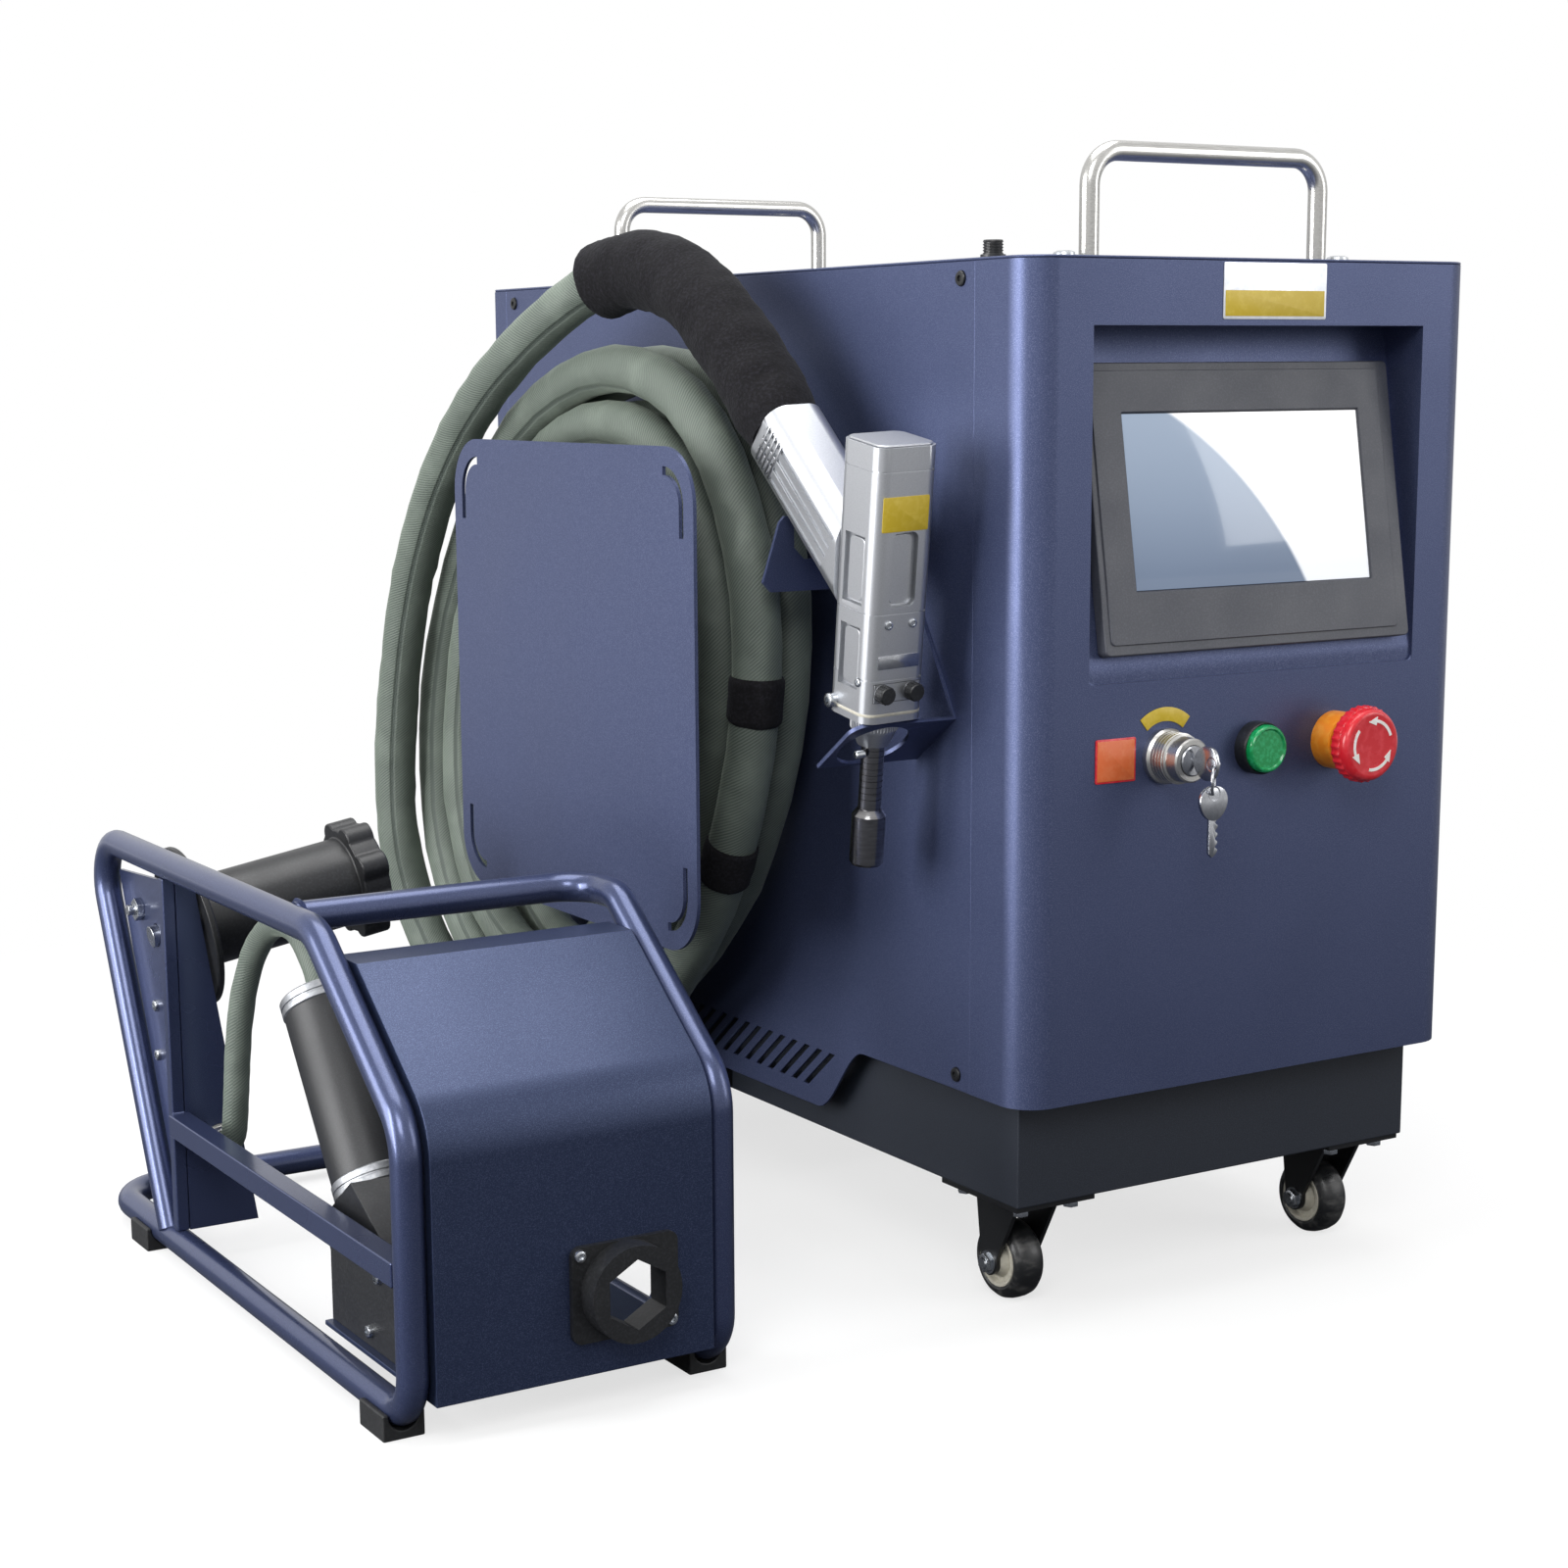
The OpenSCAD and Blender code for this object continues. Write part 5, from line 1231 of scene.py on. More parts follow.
@dataclass
class Cabinet:
    """Sheet metal housing on its plinth, with handles, screws and the hanger for the hose."""

    width: float = 287.7
    depth: float = 571.5
    top: float = 533.1
    handle_inset: float = 45.0

    def build(self, dresser: Dresser) -> None:
        """Builds the cabinet's pieces."""
        self.cover(dresser)
        for node, rim in (
            ("top_cover", 0.7), ("rear_cover", 0.7), ("side_panel_left", 0.35), ("side_panel_right", 0.35),
            ("hanger_plate", 0.6), ("hanger_bracket", 0.6), ("torch_holder", 0.6)
        ):
            dresser.rounded_copy(node, Finish.BLUE, rim=rim)
        dresser.rounded_copy("base_plinth", Finish.PLINTH, rim=1.2)
        dresser.rounded_copy("rear_fittings", Finish.ZINC, rim=0.5)
        self.handles(dresser)
        self.screws(dresser)
        self.top_parts(dresser)
        self.blank_label(dresser)

    def cover(self, dresser: Dresser) -> None:
        """Builds the front cover. The holes behind the controls keep their plain edges."""
        bm = copied(dresser.nodes, "front_cover", 0.0)
        free = []
        for edge in bm.edges:
            middle = (edge.verts[0].co + edge.verts[1].co) / 2
            hidden = edge.calc_length() < 8.0 and abs(middle.z - 290.0) < 20.0 and 60.0 < middle.x < 225.0
            if len(edge.link_faces) == 2 and edge.calc_face_angle(0.0) > math.radians(28) and not hidden:
                free.append(edge)
        soften_edges(bm, free, 0.9, bm.verts)
        dresser.piece(
            bm, "front_cover_dressed", Finish.BLUE, replaces=["front_cover"], sharp=0.0
        )

    def handles(self, dresser: Dresser) -> None:
        """Builds the two bent handles with their foot rings."""
        left = (self.width - 149.0) / 2
        high = self.top + 57.7 - 5.0
        whole = bmesh.new()
        for y in (self.handle_inset, self.depth - self.handle_inset):
            corners = [(left, y, self.top), (left, y, high), (left + 149, y, high), (left + 149, y, self.top)]
            part = tube(bent_way(corners, (0, 17, 17, 0), 12), lambda s: 5.0, 32)
            join(whole, part)
            for x in (left, left + 149):
                turned(
                    whole, [(5.02, 0), (8.0, 0), (8.0, 1.0), (7.2, 1.6), (5.02, 1.6)], 36,
                    at((x, y, self.top))
                )
        dresser.piece(
            whole, "bent_handles", Finish.STAINLESS, replaces=["carry_handles"]
        )

    def screws(self, dresser: Dresser) -> None:
        """Builds the domed screws beside the handles and the countersunk ones in the side panels."""
        bm = bmesh.new()
        left = (self.width - 149.0) / 2
        for x in (left - 15, left + 164):
            for y in (self.handle_inset, self.depth - self.handle_inset):
                hex_socket(bm, 12.0, 4.0, 5.5, at((x, y, self.top)), 0.6)
        for x in (38.35, 249.35):
            for y in (54.0, 517.5):
                for a in (-16, 16):
                    for b in (-24, 24):
                        slab(bm, ring_outline(4.3, 6), 0, 4.5, 0.4, at((x + a, y + b, 54.6)))
        for side in (-1, 1):
            screw = at((-209 + side * 24, 25.5, 60 - side * 19.5), Facing.FRONT)
            hex_socket(bm, 6.0, 2.0, 2.8, screw, 0.6)
        for y, z in ((380, 110), (380, 138)):
            hex_socket(bm, 6.5, 2.6, 3.0, at((-309.2, y, z), Facing.LEFT), 0.5)
        for y, z in ((100, 60), (112, 30)):
            hex_socket(bm, 6.5, 2.6, 3.0, at((-301, y, z), Facing.LEFT), 0.5)
        dresser.piece(bm, "steel_screws", Finish.ZINC, replaces=["fasteners"])
        bm = bmesh.new()
        for y in (55.5, 543.5):
            for z in (126.4, 523.6):
                hex_socket(bm, 7.4, 1.5, 3.2, at((0.15, y, z), Facing.LEFT), 0.4)
                hex_socket(bm, 7.4, 1.5, 3.2, at((self.width - 0.15, y, z), Facing.RIGHT), 0.4)
        dresser.piece(
            bm, "countersunk_screws", Finish.BLACK_PAINT, replaces=["panel_screws"]
        )

    def top_parts(self, dresser: Dresser) -> None:
        """Builds the aerial's threaded stub and the round cap on the top."""
        bm = bmesh.new()
        stub = [(0, 0), (6.2, 0), (6.2, 1.6), (5.0, 1.8)]
        for k in range(4):
            stub += [(5.0, 2.2 + 1.4 * k), (4.5, 2.6 + 1.4 * k), (4.5, 3.0 + 1.4 * k), (5.0, 3.3 + 1.4 * k)]
        turned(bm, stub + [(4.6, 8.5), (0, 8.5)], 32, at((12, 46, self.top)))
        cap = [(0, 0), (11, 0), (11, 3.6), (10.2, 4.6), (8.4, 5.0), (8.0, 7.4), (7.2, 8.0), (0, 8.0)]
        turned(bm, cap, 40, at((165, 480, self.top)))
        dresser.piece(bm, "aerial_stub_and_cap", Finish.BLACK, replaces=["top_fittings"])

    def blank_label(self, dresser: Dresser) -> None:
        """Builds the blank plate above the screen: a silver film with a yellow band."""
        film = bmesh.new()
        slab(film, rounded(67.0, 27.5, 1.0), 0, 0.35, 0.1, at((151.0, 0, 517.2), Facing.FRONT))
        dresser.piece(film, "blank_plate", Finish.PLATE)
        film = bmesh.new()
        slab(film, rounded(64.5, 12.5, 0.5), 0.35, 0.45, 0.04, at((151.0, 0, 511.2), Facing.FRONT))
        dresser.piece(film, "blank_plate_field", Finish.YELLOW)



def join(target: bmesh.types.BMesh, part: bmesh.types.BMesh) -> None:
    """Adds one mesh to another and frees it."""
    mesh = bpy.data.meshes.new("part")
    part.to_mesh(mesh)
    part.free()
    target.from_mesh(mesh)
    bpy.data.meshes.remove(mesh)


@dataclass
class Screen:
    """Operator panel that leans back in the front opening."""

    tilt: float = 9.5
    width: float = 200.0
    height: float = 143.0

    @property
    def place(self) -> Matrix:
        """Returns the frame of the bezel's lower left corner: X right, Y inwards, Z up."""
        lean = Matrix.Rotation(math.radians(-self.tilt), 4, "X")
        return Matrix.Translation((45.0, 0.0, 328.0)) @ lean @ Matrix.Translation((0.0, -7.0, 13.0))

    def build(self, dresser: Dresser) -> None:
        """Builds the bezel with its sunken display."""
        bm = copied(dresser.nodes, "screen_housing", 0.9)
        front = self.place @ Facing.FRONT.turn()
        panel = [(x + 97.75, y + 72.0) for x, y in rounded(188.5, 134.0, 2.5)]
        hole = [(x + 99.0, y + 74.5) for x, y in rounded(155.0, 88.0, 0.6)]
        framed(bm, panel, hole, -0.1, 0.9, 0.45, front)
        dresser.piece(
            bm, "screen_bezel", Finish.SCREEN, replaces=["screen_housing"], sharp=0.0
        )
        glass = bmesh.new()
        # the glass shows a painted reflection and highlight that glow
        block(glass, (153.6, 1.3, 86.6), (99.0, 0.75, 74.5), 0.2, self.place)
        dresser.piece(glass, "touch_glass", Finish.DISPLAY, replaces=["screen_glass"])


@dataclass
class Controls:
    """Key switch, lit button and stop button in a row below the screen."""

    height: float = 290.0
    key_x: float = 86.0
    button_x: float = 145.0
    stop_x: float = 198.0

    def build(self, dresser: Dresser) -> None:
        """Builds the controls and the blank plates beside the key switch."""
        self.lock(dresser)
        self.keys(dresser)
        self.button(dresser)
        self.stop(dresser)
        self.plates(dresser)

    def front(self, x: float, y: float = 0.0) -> Matrix:
        """Returns the frame of a control: its Z axis points out of the front."""
        return at((x, y, self.height), Facing.FRONT)

    def lock(self, dresser: Dresser) -> None:
        """Builds the stepped barrel of the key switch, with fine grooves round its first step."""
        bm = bmesh.new()
        barrel = [(7.6, -20.0), (11.0, -20.0), (11.0, 0.0), (14.0, 0.0), (14.0, 3.2), (13.4, 4.0)]
        for k in range(4):
            barrel += [
                (12.8, 4.6 + 2.2 * k), (12.8, 5.9 + 2.2 * k), (12.3, 6.1 + 2.2 * k), (12.3, 6.5 + 2.2 * k)
            ]
        barrel += [(12.4, 14.0), (11.4, 14.6), (11.0, 21.2), (10.2, 22.0), (7.9, 22.0), (7.6, 21.6)]
        turned(bm, barrel + [(7.6, -20.0)], 56, self.front(self.key_x))
        dresser.piece(bm, "lock_barrel", Finish.LOCK, replaces=["key_switch"], sharp=28)

    def bow(self, bm: bmesh.types.BMesh, blade: float, place: Matrix) -> None:
        """Adds a key in its own plane: a clover bow with its hole, and a notched blade along X.

        Args:
            bm: The mesh that takes it.
            blade: Length of the blade.
            place: Where the key goes, the bow's middle at the origin.
        """
        clover = []
        for k in range(48):
            angle = math.radians(7.5 * k)
            r = 8.6 + 0.3 * math.cos(3 * angle)
            clover.append((r * math.cos(angle), r * math.sin(angle)))
        verts = slab(bm, clover, -1.1, 1.1, 0.35)
        hole = turned(
            bm, [(3.0, -1.15), (3.7, -1.25), (3.7, 1.25), (3.0, 1.15), (3.0, -1.15)], 24,
            Matrix.Translation((-4.6, 0, 0))
        )
        notched = [(7.5, -2.7), (blade, -2.7), (blade + 2.2, -0.6), (blade + 1.2, 1.0)]
        x = blade
        while x > 11:
            notched += [(x - 0.6, 2.6), (x - 1.8, 2.6), (x - 2.8, 1.2), (x - 3.4, 1.2)]
            x -= 4.0
        shank = slab(bm, notched + [(7.5, 2.7)], -0.9, 0.9, 0.15)
        bmesh.ops.transform(bm, matrix=place, verts=verts + hole + shank)

    def keys(self, dresser: Dresser) -> None:
        """Builds the key in the lock, and the ring with the spare key."""
        bm = bmesh.new()
        turned(bm, [(0, 0), (7.5, 0), (7.5, 15.4), (7.0, 16.0), (0, 16.0)], 40, self.front(self.key_x, -7.0))
        down = Matrix.Translation((self.key_x, -32.5, self.height)) @ Matrix(
            ((0, 0, 1, 0), (1, 0, 0, 0), (0, 1, 0, 0), (0, 0, 0, 1))
        )
        self.bow(bm, 8.6, down)
        dresser.piece(bm, "key_in_lock", Finish.NICKEL, "key", ["key"])
        ring = bmesh.new()
        centre = Vector((self.key_x, -37.5, 289.4))
        lean = Matrix.Translation(centre) @ Matrix.Rotation(math.radians(45), 4, "Z")
        hoop = [
            Vector((7.0 * math.sin(a), 0.0, -7.0 + 7.0 * math.cos(a)))
            for a in (math.tau * k / 40 for k in range(41))
        ]
        part = tube(hoop, lambda s: 0.75, 12, False)
        bmesh.ops.transform(part, matrix=lean, verts=part.verts)
        bmesh.ops.remove_doubles(part, verts=part.verts, dist=0.05)
        join(ring, part)
        hung = lean @ Matrix.Translation((0, 0, -13.4)) @ Matrix.Rotation(math.radians(-45), 4, "Z")
        spare = hung @ Matrix.Rotation(math.radians(90), 4, "Y") @ Matrix.Translation((4.75, 0, 0))
        self.bow(ring, 25.0, spare @ Matrix.Rotation(math.radians(90), 4, "X"))
        dresser.piece(ring, "ring_and_spare_key", Finish.NICKEL, "key_ring", ["key_ring"])

    def button(self, dresser: Dresser) -> None:
        """Builds the lit button's dark collar and its green lens with a raised rim."""
        bm = bmesh.new()
        collar = [
            (9.5, -28.0), (11.0, -28.0), (11.0, 0.0), (13.5, 0.0), (13.5, 6.6), (13.1, 7.6), (12.8, 8.0),
            (12.5, 7.8), (12.5, 1.5)
        ]
        turned(bm, collar + [(9.5, 1.5), (9.5, -28.0)], 56, self.front(self.button_x))
        dresser.piece(
            bm, "button_collar", Finish.BLACK, replaces=["button_collars"], sharp=28
        )
        lens = bmesh.new()
        dome = [
            (0, 5.8), (12.2, 5.8), (12.2, 9.4), (11.9, 10.6), (11.2, 11.3), (10.4, 11.4), (9.9, 10.9),
            (9.6, 10.5), (0, 10.6)
        ]
        turned(lens, dome, 56, self.front(self.button_x))
        turned(lens, [(0, -22.0), (5.2, -22.0), (5.2, 5.8), (0, 5.8)], 24, self.front(self.button_x))
        dresser.piece(lens, "green_lens", Finish.GREEN, "green_button", ["green_button"])

    def stop(self, dresser: Dresser) -> None:
        """Builds the stop button: amber collar, stem, and a head with a ribbed rim and three turn arrows."""
        bm = bmesh.new()
        collar = [
            (8.4, -30.0), (11.0, -30.0), (11.0, 0.0), (15.0, 0.0), (15.0, 6.8), (14.2, 12.0), (13.4, 12.5),
            (8.4, 12.5), (8.4, -30.0)
        ]
        turned(bm, collar, 56, self.front(self.stop_x))
        dresser.piece(bm, "amber_collar", Finish.AMBER, sharp=28)
        stem = bmesh.new()
        turned(
            stem, [(0, -22.4), (8.0, -22.4), (8.0, 17.9), (5.0, 17.9), (5.0, 24.9), (0, 24.9)], 40,
            self.front(self.stop_x)
        )
        dresser.piece(stem, "stop_button_stem", Finish.AMBER, "stop_stem", ["stop_stem"])
        head = bmesh.new()
        outline = []
        for k in range(180):
            angle = math.radians(2.0 * k)
            r = 19.2 + 0.6 * max(0.0, math.cos(30 * angle)) ** 0.6
            outline.append((r * math.cos(angle), r * math.sin(angle)))
        slab(head, outline, 19.4, 25.4, 0.7, self.front(self.stop_x))
        face = [
            (5.4, 18.3), (16.0, 18.3), (18.4, 19.5), (18.8, 25.6), (18.4, 27.8), (17.4, 29.2), (16.2, 29.8),
            (15.2, 29.7), (0, 29.6)
        ]
        turned(head, [(0, 25.3), (5.1, 25.2), (5.05, 18.3)] + face[1:], 64, self.front(self.stop_x))
        dresser.piece(head, "stop_button_head", Finish.RED, "stop_head", ["stop_head"])
        arrows = bmesh.new()
        for k in range(3):
            self.arrow(arrows, 120.0 * k + 20)
        dresser.piece(arrows, "turn_arrows", Finish.WHITE, "stop_head")

    def arrow(self, bm: bmesh.types.BMesh, start: float) -> None:
        """Adds one bent arrow on the stop button's head.

        Args:
            bm: The mesh that takes it.
            start: Where the arrow's tail lies, in degrees.
        """
        angles = [math.radians(start + 60.0 * k / 10) for k in range(11)]
        outer = [(13.4 * math.cos(a), 13.4 * math.sin(a)) for a in angles]
        inner = [(11.8 * math.cos(a), 11.8 * math.sin(a)) for a in reversed(angles)]
        tip = math.radians(start + 86)
        wide = angles[-1]
        head = [(14.9 * math.cos(wide), 14.9 * math.sin(wide)), (12.6 * math.cos(tip), 12.6 * math.sin(tip)),
                (10.3 * math.cos(wide), 10.3 * math.sin(wide))]
        slab(bm, outer + head + inner, 29.5, 29.95, 0.0, self.front(self.stop_x))

    def plates(self, dresser: Dresser) -> None:
        """Builds the blank orange plate and the yellow arc above the key switch."""
        bm = bmesh.new()
        slab(bm, rounded(25.0, 22.0, 1.0), 0, 0.6, 0.2, self.front(55.0))
        dresser.piece(bm, "orange_plate_rim", Finish.RED)
        bm = bmesh.new()
        slab(bm, rounded(23.0, 20.0, 0.6), 0.5, 0.8, 0.1, self.front(55.0))
        dresser.piece(bm, "orange_plate", Finish.ORANGE)
        bm = bmesh.new()
        angles = [math.radians(50 + 80.0 * k / 16) for k in range(17)]
        arc = [(24.5 * math.cos(a), 24.5 * math.sin(a)) for a in angles]
        arc += [(17.5 * math.cos(a), 17.5 * math.sin(a)) for a in reversed(angles)]
        slab(bm, arc, 0, 0.5, 0.12, self.front(self.key_x))
        dresser.piece(bm, "yellow_arc_plate", Finish.YELLOW)


@dataclass
class Torch:
    """Hand torch in its holder: square body with its optics, slanted grip, trigger and nozzle."""

    width: float = 35.0
    length: float = 136.0
    grip_turn: float = 56.7

    @property
    def place(self) -> Matrix:
        """Returns the torch's own leaning frame: Z up along its body, the front face at -Y."""
        lean = Matrix.Rotation(math.radians(-2.5), 4, "Y") @ Matrix.Rotation(math.radians(9.5), 4, "X")
        return Matrix.Translation((-38.7, 72.4, 312.9)) @ lean

    @property
    def grip_place(self) -> Matrix:
        """Returns the grip's own frame, its Z axis along the grip."""
        return self.place @ Matrix.Translation((0, 0, 61)) @ Matrix.Rotation(
            math.radians(-self.grip_turn), 4, "X"
        )

    def build(self, dresser: Dresser) -> None:
        """Builds the torch's pieces."""
        self.body(dresser)
        self.trims(dresser)
        self.drawer(dresser)
        self.grip(dresser)
        self.collar(dresser)
        self.nozzle(dresser)

    def body(self, dresser: Dresser) -> None:
        """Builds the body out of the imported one, with rounded edges and three fine joints round it."""
        bm = copied(dresser.nodes, "torch_body", 0.7)
        bmesh.ops.transform(bm, matrix=self.place.inverted(), verts=bm.verts)
        for z in (124.0, 54.5, 21.5):
            for low in (z, z + 0.9):
                geometry = list(bm.verts) + list(bm.edges) + list(bm.faces)
                bmesh.ops.bisect_plane(
                    bm, geom=geometry, dist=0.001, plane_co=(0, 0, low), plane_no=(0, 0, 1)
                )
            h = self.width / 2 - 1.2
            band = [f for f in bm.faces if all(z - 0.01 < v.co.z < z + 0.91 for v in f.verts)]
            band = [f for f in band if max(abs(c) for c in f.calc_center_median().xy) > h]
            bmesh.ops.inset_region(bm, faces=band, thickness=0.0, depth=-0.55)
        bmesh.ops.transform(bm, matrix=self.place, verts=bm.verts)
        dresser.piece(
            bm, "torch_housing", Finish.ALUMINIUM, replaces=["torch_body"], sharp=0.0
        )

    def trims(self, dresser: Dresser) -> None:
        """Builds the blank plates, screws, window covers and top cap."""
        face = self.place @ Matrix.Translation((0, -self.width / 2, 0)) @ Facing.FRONT.turn()
        label = bmesh.new()
        slab(label, rounded(26.5, 17.0, 0.8), 0, 0.35, 0.1, face @ Matrix.Translation((-1.0, 104.0, 0)))
        dresser.piece(label, "torch_blank_label", Finish.YELLOW)
        plate = bmesh.new()
        slab(plate, rounded(24.0, 6.8, 0.8), 0, 0.35, 0.1, face @ Matrix.Translation((0, 31.0, 0)))
        dresser.piece(plate, "torch_blank_plate", Finish.NICKEL)
        screws = bmesh.new()
        for x in (-7.0, 7.0):
            hex_socket(screws, 4.4, 0.8, 2.4, face @ Matrix.Translation((x, 49.5, 0)), 0.3)
        side = self.place @ Matrix.Translation((-self.width / 2, 0, 0)) @ Facing.LEFT.turn()
        hex_socket(screws, 7.5, 4.2, 3.4, side @ Matrix.Translation((6.0, 11.0, 0)), 0.25)
        hex_socket(screws, 4.2, 1.0, 2.2, side @ Matrix.Translation((20.0, -9.5, 0)), 0.25)
        dresser.piece(screws, "torch_screws", Finish.ZINC)
        rims = bmesh.new()
        for low, height in ((16.0, 31.0), (58.0, 34.0)):
            cover = side @ Matrix.Translation((low + height / 2, 0, -2.6))
            slab(rims, rounded(height - 3.0, 13.0, 3.0), 0, 1.2, 0.4, cover)
        dresser.piece(rims, "torch_window_covers", Finish.ALUMINIUM, sharp=0.0)
        pocket = bmesh.new()
        well = face @ Matrix.Translation((0, 76.5, -3.6))
        slab(pocket, rounded(12.0, 34.0, 3.0), 0, 1.0, 0.4, well)
        dresser.piece(pocket, "torch_pocket_floor", Finish.ALUMINIUM, sharp=0.0)
        cap = bmesh.new()
        slab(
            cap, rounded(self.width - 2.4, self.width - 2.4, 6.0), self.length, self.length + 1.2, 0.6,
            self.place
        )
        dresser.piece(cap, "torch_cap", Finish.ALUMINIUM, sharp=0.0)

    def drawer(self, dresser: Dresser) -> None:
        """Builds the drawer of the protective lens, with its gasket and two capped knobs."""
        bm = copied(dresser.nodes, "lens_drawer", 0.3)
        dresser.piece(
            bm, "lens_drawer_body", Finish.ALUMINIUM, "lens_drawer", ["lens_drawer"], 0.0
        )
        caps = bmesh.new()
        face = self.place @ Matrix.Translation((0, -self.width / 2, 15.5)) @ Facing.FRONT.turn()
        for x in (-8.5, 8.5):
            knob = [(0, 0.3), (4.4, 0.3), (4.4, 5.4), (3.9, 6.0), (0, 6.0)]
            turned(caps, knob, 28, face @ Matrix.Translation((x, 0, 0)))
            for k in range(14):
                turn = Matrix.Rotation(math.tau * k / 14, 4, "Z")
                block(
                    caps, (0.5, 0.6, 4.4), (4.45, 0, 2.9), 0.1, face @ Matrix.Translation((x, 0, 0)) @ turn, 1
                )
        dresser.piece(caps, "drawer_knobs", Finish.BLACK, "lens_drawer")
        seal = bmesh.new()
        slab(seal, rounded(self.width + 0.5, self.width + 0.5, 7.2), 3.4, 5.0, 0.3, self.place)
        dresser.piece(seal, "optics_gasket", Finish.GASKET)

    def grip(self, dresser: Dresser) -> None:
        """Builds the grip with its grooves, the ribs near its end, and the trigger."""
        bm = copied(dresser.nodes, "torch_grip", 0.6)
        dresser.piece(
            bm, "grip_shell", Finish.ALUMINIUM, replaces=["torch_grip"], sharp=0.0
        )
        ribs = bmesh.new()
        for side in (-1, 1):
            for k in range(5):
                place = self.grip_place @ Matrix.Translation((side * 17.0, 0, 92.0 + 3.6 * k))
                block(ribs, (0.9, 22.0, 1.5), (0, 0, 0), 0.3, place)
        dresser.piece(ribs, "grip_ribs", Finish.POLISHED)
        trigger = copied(dresser.nodes, "torch_trigger", 1.4)
        dresser.piece(
            trigger, "trigger_key", Finish.BLACK, "trigger", ["torch_trigger"], 0.0
        )

    def collar(self, dresser: Dresser) -> None:
        """Builds the knurled clamp ring below the body, with its clamp screw."""
        bm = bmesh.new()
        bore = 5.95
        ring = [
            (bore, -16.0), (7.8, -16.0), (8.2, -15.4), (10.8, -9.0), (11.6, -7.6), (11.6, -0.8), (11.0, 0.0),
            (bore, 0.0), (bore, -16.0)
        ]
        turned(bm, ring, 56, self.place)
        for k in range(44):
            turn = Matrix.Rotation(math.tau * k / 44, 4, "Z")
            block(bm, (0.8, 0.9, 6.0), (11.7, 0, -4.2), 0.2, self.place @ turn, 1)
        dresser.piece(bm, "clamp_ring", Finish.ALUMINIUM, replaces=["focus_collar"])
        screw = bmesh.new()
        hex_socket(
            screw, 4.2, 5.0, 2.4, self.place @ Matrix.Translation((-7.5, -3.0, -19.5)) @ Facing.LEFT.turn(),
            0.2
        )
        dresser.piece(screw, "clamp_screw", Finish.ZINC, "nozzle")

    def nozzle(self, dresser: Dresser) -> None:
        """Builds the nozzle tube with its scale lines, and its polished tip."""
        bm = bmesh.new()
        tube_wall = [(3.0, 5.0), (5.9, 5.0), (5.9, -17.0)]
        for k in range(9):
            low = -18.0 - 3.2 * k
            tube_wall += [(5.9, low), (5.62, low - 0.15), (5.62, low - 0.45), (5.9, low - 0.6)]
        tube_wall += [
            (5.9, -49.4), (6.4, -49.8), (8.75, -53.0), (8.75, -77.6), (7.9, -79.0), (4.4, -79.0),
            (3.0, -77.5), (3.0, 5.0)
        ]
        turned(bm, tube_wall, 48, self.place)
        dresser.piece(
            bm, "nozzle_tube_turned", Finish.TURNED, "nozzle", ["nozzle_tube"], sharp=24
        )


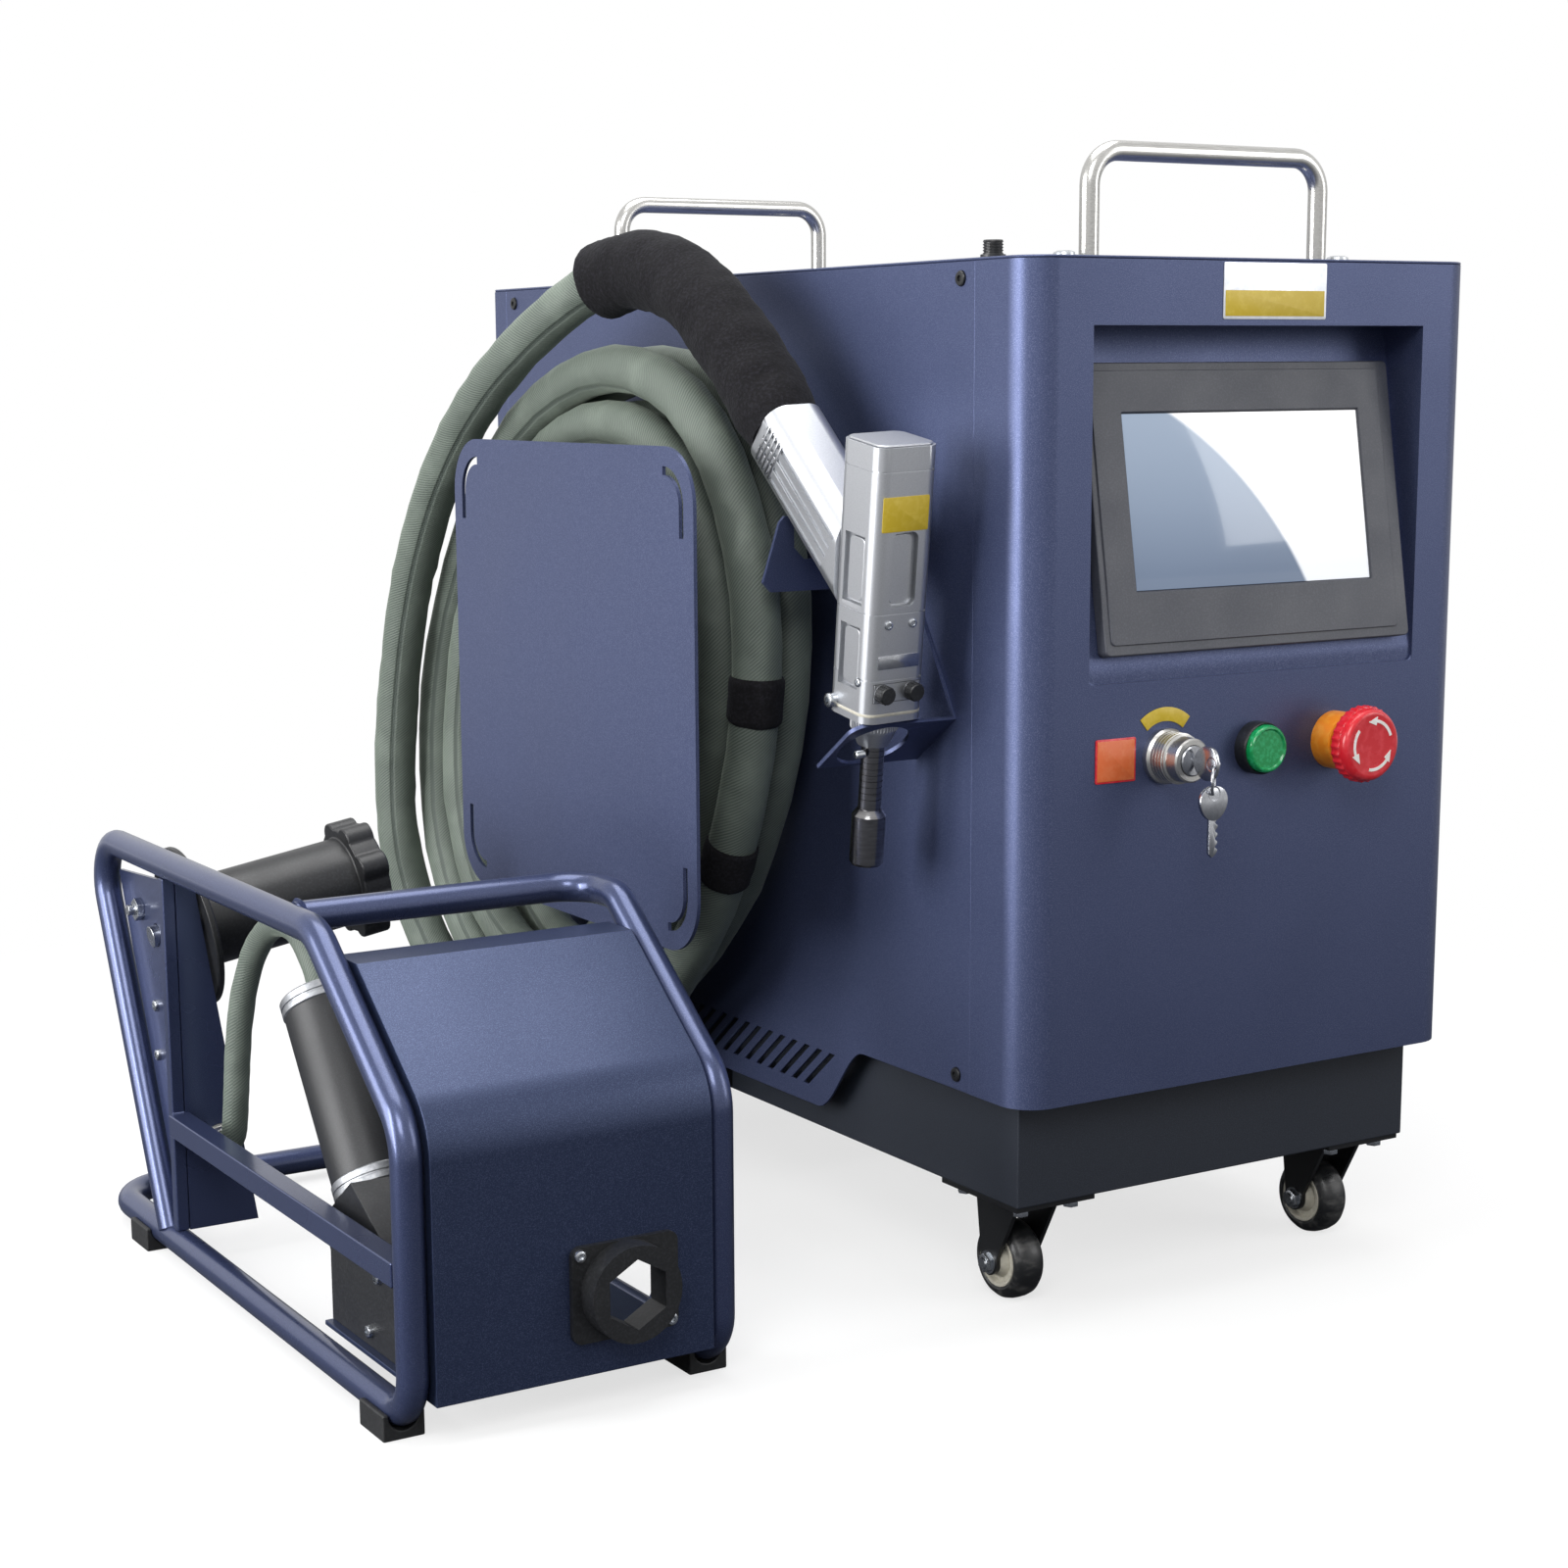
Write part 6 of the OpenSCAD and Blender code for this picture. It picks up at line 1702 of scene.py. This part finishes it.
@dataclass
class Casters:
    """Four casters on grey hubs; the front two swivel."""

    tread_width: float = 18.0
    radius: float = 21.0

    def build(self, dresser: Dresser) -> None:
        """Builds the plates, forks and wheels."""
        dresser.rounded_copy("caster_plates", Finish.BLACK_PAINT, rim=0.4)
        dresser.rounded_copy("rear_forks", Finish.BLACK_PAINT, rim=0.4)
        dresser.rounded_copy("caster_fork_left", Finish.BLACK_PAINT, "fork_left", rim=0.4)
        dresser.rounded_copy("caster_fork_right", Finish.BLACK_PAINT, "fork_right", rim=0.4)
        corners = {"front_left": (38.35, 60.0, "fork_left"), "front_right": (249.35, 60.0, "fork_right"),
                   "rear_left": (38.35, 523.5, "root"), "rear_right": (249.35, 523.5, "root")}
        for name, (x, y, fork) in corners.items():
            self.wheel(
                dresser, "wheel_" + name, Matrix.Translation((x, y, self.radius)) @ Facing.RIGHT.turn()
            )
            self.nuts(dresser, name, (x, y), fork)

    def wheel(self, dresser: Dresser, body: str, place: Matrix) -> None:
        """Builds one wheel: a crowned tread round a grey hub ring.

        Args:
            dresser: Makes the pieces.
            body: The wheel's body, which is also its node's name.
            place: The wheel's middle, its Z axis along the axle.
        """
        half = self.tread_width / 2
        rim = [
            (14.2, -half + 0.6), (15.6, -half), (18.4, -half + 1.0), (20.2, -half + 3.2), (20.9, -half + 6.2),
            (21.0, 0.0)
        ]
        tread = rim + [(r, -z) for r, z in reversed(rim[:-1])] + [(14.2, -half + 0.6)]
        bm = bmesh.new()
        turned(bm, tread, 64, place)
        dresser.piece(bm, body + "_tread", Finish.TREAD, body, [body], sharp=40)
        hub = [
            (4.05, -half - 2.0), (7.0, -half - 2.0), (7.6, -half - 0.4), (9.0, -half + 2.4),
            (11.2, -half + 2.4), (12.2, -half + 0.2), (13.9, -half + 0.1), (14.25, -half + 0.7)
        ]
        bm = bmesh.new()
        turned(bm, hub + [(r, -z) for r, z in reversed(hub)] + [(4.05, -half - 2.0)], 56, place)
        dresser.piece(bm, body + "_hub", Finish.GASKET, body, sharp=30)

    def nuts(self, dresser: Dresser, name: str, spot: tuple[float, float], fork: str) -> None:
        """Builds an axle's nuts.

        Args:
            dresser: Makes the pieces.
            name: Which corner the wheel is at.
            spot: The axle's place across and along the cabinet.
            fork: The body that holds the axle.
        """
        bm = bmesh.new()
        for side, facing in ((-1, Facing.LEFT), (1, Facing.RIGHT)):
            place = at((spot[0] + side * 13.9, spot[1], self.radius), facing)
            turned(bm, [(0, 0), (6.2, 0), (6.2, 0.7), (0, 0.7)], 32, place)
            slab(bm, ring_outline(5.2, 6), 0.6, 3.4, 0.4, place)
            turned(bm, [(0, 3.2), (3.2, 3.2), (2.8, 4.4), (0, 4.4)], 24, place)
        dresser.piece(bm, "axle_nuts_" + name, Finish.ZINC, fork)


@dataclass
class Feeder:
    """Wire feeder: bent tube frame, folded cover, motor, rollers and the spool on its axle."""

    tube_d: float = 15.0

    def build(self, dresser: Dresser) -> None:
        """Builds the feeder's pieces."""
        self.frame(dresser)
        dresser.rounded_copy("feeder_rails", Finish.TUBE, rim=0.9)
        # the cover's darker blue is painted shade
        dresser.rounded_copy("feeder_cover", Finish.DEEP_BLUE, rim=0.5)
        dresser.rounded_copy("spool_bracket", Finish.TUBE, rim=0.5)
        dresser.rounded_copy("feeder_feet", Finish.RUBBER, rim=1.0)
        dresser.rounded_copy("outlet_flange", Finish.BLACK, rim=0.8)
        dresser.rounded_copy("spool_hub", Finish.BLACK, "spool", rim=1.6)
        dresser.rounded_copy("spool_axle", Finish.ZINC, rim=0.5)
        dresser.rounded_copy("drive_block", Finish.BLACK, rim=1.0)
        dresser.rounded_copy("pressure_arm", Finish.MOTOR, "pressure_arm", rim=0.6)
        dresser.rounded_copy("feed_roller", Finish.TURNED, "feed_roller", rim=0.4)
        dresser.rounded_copy("idler_roller", Finish.TURNED, "idler_roller", rim=0.4)
        self.motor(dresser)
        self.wiring(dresser)

    def frame(self, dresser: Dresser) -> None:
        """Builds the frame's one bent tube and its welds."""
        left, right = -313.0, -152.0
        corners = [
            (left, 361, 15.75), (left, 460, 223), (left, 134, 223), (left, 37, 148), (left, 37, 12),
            (left, 460, 12), (right, 460, 12), (right, 37, 12), (right, 37, 148), (right, 134, 223),
            (right, 170, 223), (left + 3.75, 170, 223)
        ]
        bends = (0, 24, 30, 30, 22, 34, 34, 22, 30, 18, 22, 0)
        bm = tube(bent_way(corners, bends, 12), lambda s: self.tube_d / 2, 28)
        weld = [(0, 0), (9.1, 0), (8.6, 1.4), (7.6, 2.4), (0, 2.4)]
        turned(bm, weld, 32, at((left + 5.6, 170, 223), Facing.RIGHT))
        dresser.piece(bm, "bent_frame", Finish.TUBE, replaces=["feeder_frame"], sharp=40)

    def motor(self, dresser: Dresser) -> None:
        """Builds the feed motor: black can, bare rings and screws at both ends."""
        way = Vector((0, 65, 87)).normalized()
        place = Matrix.Translation((-278, 150, 85)) @ way.to_track_quat("Z", "X").to_matrix().to_4x4()
        can = bmesh.new()
        turned(can, [(0, 9), (21.9, 9), (21.9, 100), (0, 100)], 56, place)
        dresser.piece(can, "motor_can", Finish.MOTOR, replaces=["feed_motor"])
        ends = bmesh.new()
        for low, high in ((0.0, 9.0), (100.0, 109.0)):
            ring = [
                (0, low), (21.6, low), (22.5, low + 0.9), (22.5, low + 3.4), (22.0, low + 3.8),
                (22.0, low + 4.6), (22.5, low + 5.0)
            ]
            turned(ends, ring + [(22.5, high - 0.8), (21.8, high), (0, high)], 56, place)
        for k in range(4):
            angle = math.radians(45 + 90 * k)
            hex_socket(
                ends, 5.0, 1.6, 2.4,
                place @ Matrix.Translation((16.5 * math.cos(angle), 16.5 * math.sin(angle), 109)), 0.4
            )
        dresser.piece(ends, "motor_end_rings", Finish.CAST)

    def wiring(self, dresser: Dresser) -> None:
        """Builds the motor's cable in its sleeve and the round connector."""
        way = Vector((0, 65, 87)).normalized()
        top = Vector((-278, 150, 85)) + 109 * way
        knots = [
            tuple(top), (-278, 227, 188), (-279, 246, 200), (-281, 270, 199), (-284, 292, 182),
            (-287, 305, 155),
                 (-289, 311, 125), (-290, 314, 98), (-290, 320, 76), (-290, 333.5, 66)]
        bm = tube(smooth_way(knots, 4.0), lambda s: 6.9, 20)
        crease(bm, 0.35, 8.0, 4.0)
        dresser.piece(bm, "motor_cable", Finish.HOSE, replaces=["feeder_wiring"])
        ring = bmesh.new()
        barrel = [
            (7.1, 0), (11.0, 0), (11.0, 1.2), (10.0, 1.6), (10.0, 6.6), (9.4, 7.6), (7.1, 7.6), (7.1, 0)
        ]
        turned(ring, barrel, 40, at((-290, 341.4, 66), Facing.FRONT))
        dresser.piece(ring, "round_connector", Finish.LOCK)


@dataclass
class Interior:
    """Units behind the panels, seen only when the housing is open."""

    def build(self, dresser: Dresser) -> None:
        """Finishes the inner units."""
        dresser.rounded_copy("laser_module", Finish.CAST, rim=0.8)
        dresser.rounded_copy("power_supply", Finish.ZINC, rim=0.8)
        dresser.rounded_copy("control_board", Finish.BOARD, rim=0.2)
        dresser.rounded_copy("fan_frame", Finish.BLACK, rim=0.5)
        dresser.rounded_copy("fan_rotor", Finish.BLACK, "fan_rotor", rim=0.3)


def main() -> None:
    """Builds the studio and every sub-assembly in order."""
    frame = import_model()
    Studio().build()
    dresser = Dresser(frame["nodes"])
    for assembly in (Hose(), Cabinet(), Screen(), Controls(), Torch(), Casters(), Feeder(), Interior()):
        assembly.build(dresser)
        LOG.info("built %s", type(assembly).__name__)
    bpy.context.scene.view_settings.view_transform = "Standard"


if __name__ == "__main__":
    logging.basicConfig(level=logging.INFO, format="%(name)s: %(message)s")
    main()
